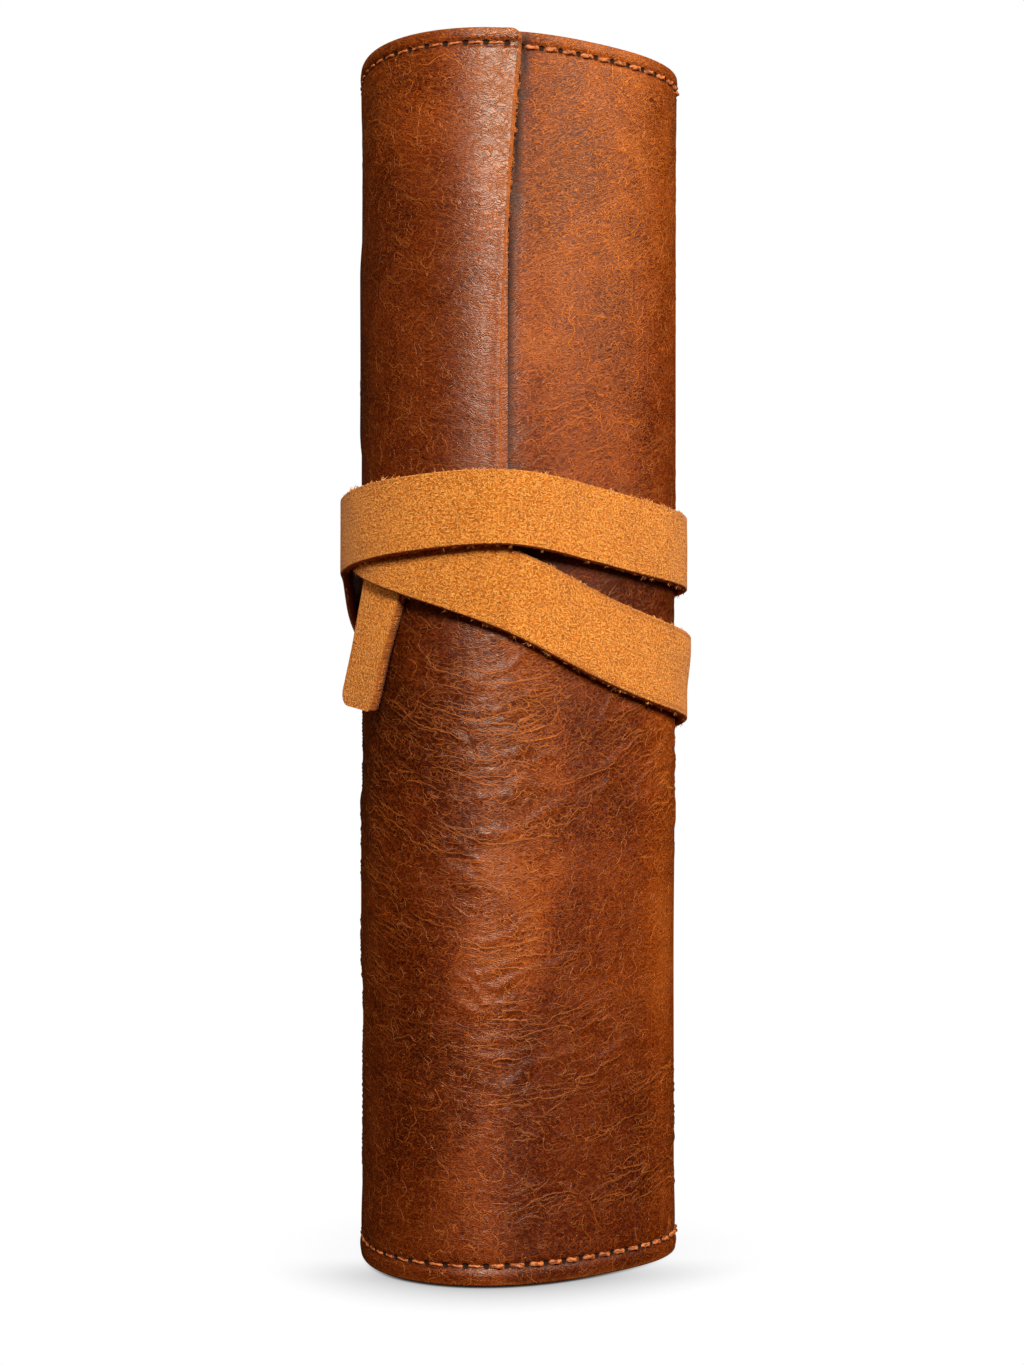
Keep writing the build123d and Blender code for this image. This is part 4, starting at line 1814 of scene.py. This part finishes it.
@dataclass
class Thread:
    """Stitches of twisted thread, each a short rope between two needle holes."""

    plan: RollPlan
    sheet: LeatherSheet
    finish: bpy.types.Material
    rings: int = 9
    sides: int = 8
    thin: float = 0.25
    thick: float = 0.46
    swelling: float = 0.26  # of the twist, as a share of the thickness
    twist: float = 0.9  # turns along a stitch
    slant: float = 0.10
    hem_gap: float = 0.75  # between one stitch of a hem and the next
    seam_gap: float = 0.6  # the same at the seams of the pockets

    def ropes(self, length: Array, thick: Array) -> tuple[Array, Array, Array]:
        """Shapes of many stitches.

        Along a stitch the rope rises out of one hole and dives into the next, as the
        square root of half a sine wave.  Its outline is a circle with two swellings
        that turn once along the stitch, which gives its twist.

        Args:
            length: how far each stitch runs.
            thick: the radius of each thread.

        Returns:
            Places along, heights off the leather, and places across, for each stitch,
            ring and side.
        """
        t = np.linspace(0, 1, self.rings)[None, :, None]
        side = (np.arange(self.sides) * 2 * math.pi / self.sides)[None, None, :]
        thick = thick[:, None, None]
        swell = 1 + self.swelling * np.cos(2 * (side - 2 * math.pi * self.twist * t))
        taper = 0.45 + 0.55 * np.sin(math.pi * t) ** 0.5
        arch = np.sqrt(np.sin(math.pi * t)) * thick * 1.25 - thick * 0.75
        along = (t - 0.5) * length[:, None, None] + 0 * side
        across = thick * swell * taper * np.sin(side) + self.slant * (2 * t - 1)
        return along, arch + thick * swell * taper * np.cos(side), across

    def hem_points(self, low: float, high: float, face: Face) -> Array:
        """The hem stitches of one face between two plan angles.

        Args:
            low: the first plan angle.
            high: the last one.
            face: the face of the sheet.

        Returns:
            Their points by stitch, ring and side.
        """
        plan, found = self.plan, []
        fine = np.arange(plan.sheet_start, plan.flap_end + 0.5, 0.5)
        lengths = plan.arc_length(fine)
        first, last = plan.arc_length(np.array([low, high]))
        for height in STITCH_ROWS:
            ends = [math.ceil(run / STITCH_PITCH - 0.5) for run in (first, last)]
            centres = (np.arange(*ends) + 0.5) * STITCH_PITCH
            angle = np.interp(centres, lengths, fine)
            top = height > plan.step_height
            limit = float(plan.edge_angle(height)) - 4.0 if top else plan.flap_end - 3.0
            keep = (angle < limit) & (angle > plan.sheet_start + 3.0)
            centres, angle = centres[keep], angle[keep]
            if not len(centres):
                continue
            thin = (angle > -112) & (angle < (8 if top else -9))
            runs = np.full(len(centres), STITCH_PITCH - self.hem_gap)
            along, proud, across = self.ropes(runs, np.where(thin, self.thin, self.thick))
            at = np.interp(centres[:, None, None] + along, lengths, fine)
            z = height + across * (1 if top else -1)
            if face is Face.OUTER:
                radius = plan.outer(at) + self.sheet.loose(at, z) + self.sheet.lift(at, z)[0] + proud
            else:
                radius = plan.inner(at) + self.sheet.loose(at, z) - proud
            found.append(plan.place(at, radius, z))
        return np.concatenate(found) if found else np.zeros((0, self.rings, self.sides, 3))

    def build_hems(self) -> None:
        """Stitches along both hems and both faces, a piece for each strip of the sheet."""
        plan = self.plan
        for number in range(1, plan.sections):
            low = plan.sheet_start if number == 1 else plan.middle(number)
            high = plan.middle(number + 1) if number < plan.sections - 1 else plan.flap_end
            points = np.concatenate([self.hem_points(low, high, face) for face in Face])
            piece = closed_tubes(f"hem_thread_{number:02d}", points, self.finish)
            bend_across_fold(piece, plan, number)
            LOG.info("%s: %d stitches", piece.name, len(points))


# --------------------------------------------------------------------------- pockets


@dataclass
class BrushPockets:
    """The row of brush slots: one strip of leather, sewn down between the slots."""

    plan: RollPlan
    finish: bpy.types.Material
    thread: Thread
    column: float = 2.0
    foot: float = 8.0
    end_gap: float = 0.5
    thread_radius: float = 0.36
    clear: float = 0.06  # how far the leather is off the sheet at the seams

    def surface(self, angle: Array, height: Array) -> Array:
        """Radius of the pocket leather's outer side.

        In each section it leaves the sheet at the seams and stands off by the slot's
        depth in between, and it comes back to the sheet at the bottom seam.

        Args:
            angle: plan angles.
            height: heights.

        Returns:
            Radii on the round roll.
        """
        plan = self.plan
        phase = np.mod(angle - plan.sheet_start, plan.section_angle) / plan.section_angle
        inset = np.minimum(phase, 1 - phase)
        hump = smooth((inset - 0.035) / 0.24) ** 0.8
        rise = smooth((height - plan.pocket_lift - 1.5) / self.foot)
        return plan.inner(angle) - self.clear - (plan.slot_depth + 0.02) * hump * rise

    def build(self) -> None:
        """Makes the strips, each reaching across the seam in its middle, and their thread."""
        plan = self.plan
        low, high = plan.pocket_lift, plan.pocket_lift + plan.pocket_height
        heights, depths = EdgeProfile(low, high, rounding=0.5, step=2.2, hem_width=6.0, hem_step=0.8).loop()
        last = plan.pockets - 1
        inner_end = plan.sheet_start + self.end_gap
        outer_end = plan.section_start(plan.pockets + 1) - self.end_gap
        for number in range(1, plan.pockets):
            start = inner_end if number == 1 else plan.middle(number)
            end = outer_end if number == last else plan.middle(number + 1)
            angles = one_more_each_end(evenly(start, end, self.column))
            grid = np.broadcast_to(angles[:, None], (len(angles), len(heights)))
            radius = self.surface(grid, heights[None, :]) - plan.pocket_leather * (1 - depths)
            points = plan.place(grid, radius, heights[None, :])
            normals = grid_normals(points)[1:-1]
            uv = np.stack([plan.arc_length(grid), np.broadcast_to(heights, grid.shape)], -1) * MM
            rim = np.clip(bump(heights, high, 0.8) + bump(heights, low, 0.8), 0, 1)
            marks = {"inside": inner_side(depths), "rim": rim[None, :], "crease": np.full((1, 1), 0.25)}
            marks["sagged"] = heights[None, :]
            name = f"pocket_strip_{number:02d}"
            piece = Skin(name, points[1:-1], uv[1:-1], normals, marks, [self.finish]).build()
            nodes = [f"pocket_{number:02d}"] + ([f"pocket_{number + 1:02d}"] if number == last else [])
            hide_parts(*nodes)
            bend_across_fold(piece, plan, number)
            self.seam(number)
            LOG.info("%s: strip of the pockets", piece.name)

    def seam(self, number: int) -> None:
        """The upright row of stitches between two slots.

        Args:
            number: the first slot's number.
        """
        plan, thread = self.plan, self.thread
        fold = plan.section_start(number + 1)
        top = plan.pocket_lift + plan.pocket_height
        heights = np.arange(plan.pocket_lift + 6.0, top - 3.0, STITCH_PITCH)
        lengths = np.full(len(heights), STITCH_PITCH - thread.seam_gap)
        along, proud, across = thread.ropes(lengths, np.full(len(heights), self.thread_radius))
        face = plan.inner(fold) - self.clear - plan.pocket_leather
        angle = fold + np.degrees(across / face)
        points = plan.place(angle, face - proud, heights[:, None, None] + along)
        piece = closed_tubes(f"seam_thread_{number:02d}", points[:, :, ::-1], thread.finish)
        bend_across_fold(piece, plan, number)


# --------------------------------------------------------------------------- rivets


@dataclass
class Rivets:
    """Two domed rivets that hold the strap to the flap's outer end."""

    strap: WoundStrap
    finish: bpy.types.Material
    angles: tuple[float, float] = (107.0, 125.0)
    head: float = 3.6
    shank: float = 1.6
    shank_length: float = 3.4
    dome: float = 0.95

    def build(self) -> None:
        """Turns each rivet's outline about its axis: shank, flat underside and dome."""
        plan, strap = self.strap.plan, self.strap
        curve = np.linspace(0, math.pi / 2, 8)[:-1]
        stem, rim = self.shank, self.head * 0.97
        radii = np.concatenate([[0.02, stem, stem, rim], self.head * np.cos(curve), [0.02]])
        dome = [0.15 + self.dome * np.sin(curve), [0.15 + self.dome]]
        rises = np.concatenate([[-self.shank_length, -self.shank_length, 0.0, 0.0], *dome])
        turn = np.arange(24) * 2 * math.pi / 24
        up = np.array([0.0, 0.0, 1.0])
        for name, angle in zip(("strap_rivet_set", "strap_rivet_second"), self.angles):
            height = float(strap.height(np.array([angle]))[0])
            face = float(strap.inner_radius(np.array([angle]))[0]) + strap.thick
            base = plan.place(angle, face, height)
            ahead = plan.place(angle + 1.0, face, height) - plan.place(angle - 1.0, face, height)
            side = ahead / np.linalg.norm(ahead)
            out = np.cross(side, up)
            ring = np.cos(turn)[None, :, None] * side + np.sin(turn)[None, :, None] * up
            points = base + (radii[:, None, None] * ring + rises[:, None, None] * out) * MM
            uv = np.zeros((*points.shape[:2], 2))
            piece = Skin(name, points, uv, grid_normals(points), {}, [self.finish]).build()
            if name == "strap_rivet_set":
                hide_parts("strap_rivets")
            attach(piece, "fold_20")
            LOG.info("%s: rivet", piece.name)


# --------------------------------------------------------------------------- the studio


@dataclass
class Studio:
    """Pale floor, white backdrop, soft light and the camera."""

    camera_place: tuple[float, float, float] = (0.001322, -0.4802, 0.103)
    lens: float = 62.06
    shift_up: float = 0.0466
    aim: tuple[float, float, float] = (0.0, 0.0, 0.14)
    ambient: float = 0.14
    mirrored: float = 0.02
    lamp_colour: tuple[float, float, float] = (1.0, 0.965, 0.88)
    floor_size: float = 8.0
    floor_height: float = -0.0002

    @staticmethod
    def seen(graph: Graph) -> tuple[Value, bpy.types.Node]:
        """A mask of the rays that come from the camera, straight or through a clear surface."""
        path = graph.add("ShaderNodeLightPath")
        return graph.larger(path.outputs["Is Camera Ray"], path.outputs["Is Transmission Ray"]), path

    def floor(self) -> None:
        """A wide floor that glows white where it is seen.

        The object's soft shadow is painted into that glow: darker where little open sky
        reaches it, mostly in front.
        """
        material, graph, shader = blank_material("studio_floor")
        set_constants(shader, Roughness=1.0, Specular_IOR_Level=0.0)
        place = graph.add("ShaderNodeTexCoord").outputs["Object"]
        pale = graph.mix(graph.noise(place, 3.0), srgb(250, 250, 250), srgb(254, 254, 254))
        seen, _ = self.seen(graph)
        graph.put(shader.inputs["Base Color"], graph.mix(seen, srgb(66, 34, 16), pale))
        open_sky = graph.add("ShaderNodeAmbientOcclusion", {"Distance": 0.021}, samples=12).outputs["AO"]
        depth = graph.add("ShaderNodeSeparateXYZ", {"Vector": place}).outputs["Y"]
        front = graph.remap(depth, -0.004, -0.026, 0.12, 1.0)
        shadow = graph.times(graph.minus(1.0, open_sky), front)
        glow = graph.add("ShaderNodeEmission", {"Color": (1.0, 1.0, 1.0, 1.0)})
        graph.put(glow.inputs["Strength"], graph.minus(1.0, shadow))
        mixed = graph.add("ShaderNodeMixShader", {"Fac": seen})
        graph.put(mixed.inputs[1], shader.outputs[0])
        graph.put(mixed.inputs[2], glow.outputs[0])
        output = next(n for n in graph.tree.nodes if n.type == "OUTPUT_MATERIAL")
        graph.put(output.inputs["Surface"], mixed.outputs[0])
        mesh = bpy.data.meshes.new("studio_floor")
        far, z = self.floor_size / 2, self.floor_height
        mesh.from_pydata([(-far, -far, z), (far, -far, z), (far, far, z), (-far, far, z)], [], [(0, 1, 2, 3)])
        mesh.materials.append(material)
        add_object("studio_floor", mesh)

    def backdrop(self) -> None:
        """A world that is white where it is seen and a soft grey where it lights."""
        world = bpy.data.worlds.new("studio_world")
        bpy.context.scene.world = world
        world.use_nodes = True
        graph = Graph(world.node_tree)
        background = world.node_tree.nodes["Background"]
        seen, path = self.seen(graph)
        dimmed = graph.times(path.outputs["Is Glossy Ray"], self.ambient - self.mirrored)
        rest = graph.minus(self.ambient, dimmed)
        graph.put(background.inputs["Color"], graph.mix(seen, srgb(255, 214, 176), (1.0, 1.0, 1.0, 1.0)))
        graph.put(background.inputs["Strength"], graph.larger(rest, seen))

    def lamp(
        self, name: str, place: tuple[float, float, float], size: float, power: float, mirrored: bool = True
    ) -> None:
        """A square soft lamp that faces the roll.

        Args:
            name: its name.
            place: where it stands, in metres.
            size: the length of its side, in metres.
            power: its power in watts.
            mirrored: False where it leaves no highlight.
        """
        data = bpy.data.lights.new(name, "AREA")
        data.energy, data.size, data.color = power, size, self.lamp_colour
        lamp = add_object(name, data)
        direction = np.array(self.aim) - np.array(place)
        lamp.visible_glossy = mirrored
        lamp.location = place
        lamp.rotation_mode = "QUATERNION"
        lamp.rotation_quaternion = Vector(direction.tolist()).to_track_quat("-Z", "Y")

    def build(self) -> None:
        """Sets up everything round the object."""
        self.floor()
        self.backdrop()
        self.lamp("key_lamp", (0.065, -0.92, 0.60), 0.27, 13.0)
        self.lamp("right_sheen", (0.95, -0.50, 0.70), 0.60, 5.2)
        self.lamp("right_fill", (1.05, 0.05, 0.50), 0.40, 7.0, mirrored=False)
        self.lamp("left_fill", (-1.00, -0.06, 0.45), 0.50, 3.1, mirrored=False)
        self.lamp("back_fill", (-0.35, 0.75, 1.35), 0.70, 9.0, mirrored=False)
        data = bpy.data.cameras.new("camera")
        data.lens, data.shift_y = self.lens, self.shift_up
        camera = add_object("camera", data)
        camera.location = self.camera_place
        camera.rotation_euler = (math.pi / 2, 0.0, 0.0)
        bpy.context.scene.camera = camera
        bpy.context.scene.view_settings.view_transform = "Standard"


def main() -> None:
    """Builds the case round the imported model."""
    logging.basicConfig(level=logging.INFO, format="%(message)s")
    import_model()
    effects = Effects()
    plan = RollPlan()
    leather = PullUpLeather("cover_leather").material(effects)
    pocket = PullUpLeather(
        "pocket_leather", brown=srgb(132, 66, 26), tan=srgb(164, 92, 44), lines=0.4, stitch_rows=(4.0, 4.0)
    ).material(effects)
    suede = Suede("strap_suede").material(effects)
    orange_fibres = FrayedFibre("raw_leather_fibres", srgb(226, 132, 54), srgb(150, 70, 22)).material()
    tan_fibres = FrayedFibre("suede_fibres", srgb(236, 160, 84), srgb(160, 88, 34)).material()
    sheet = LeatherSheet(plan, leather, orange_fibres)
    sheet.build()
    thread = Thread(plan, sheet, WaxedThread().material())
    thread.build_hems()
    BrushPockets(plan, pocket, thread).build()
    strap = WoundStrap(plan, suede, tan_fibres)
    strap.build()
    StrapTail(strap, suede).build()
    Rivets(strap, AgedBrass().material()).build()
    Studio().build()


if __name__ == "__main__":
    main()
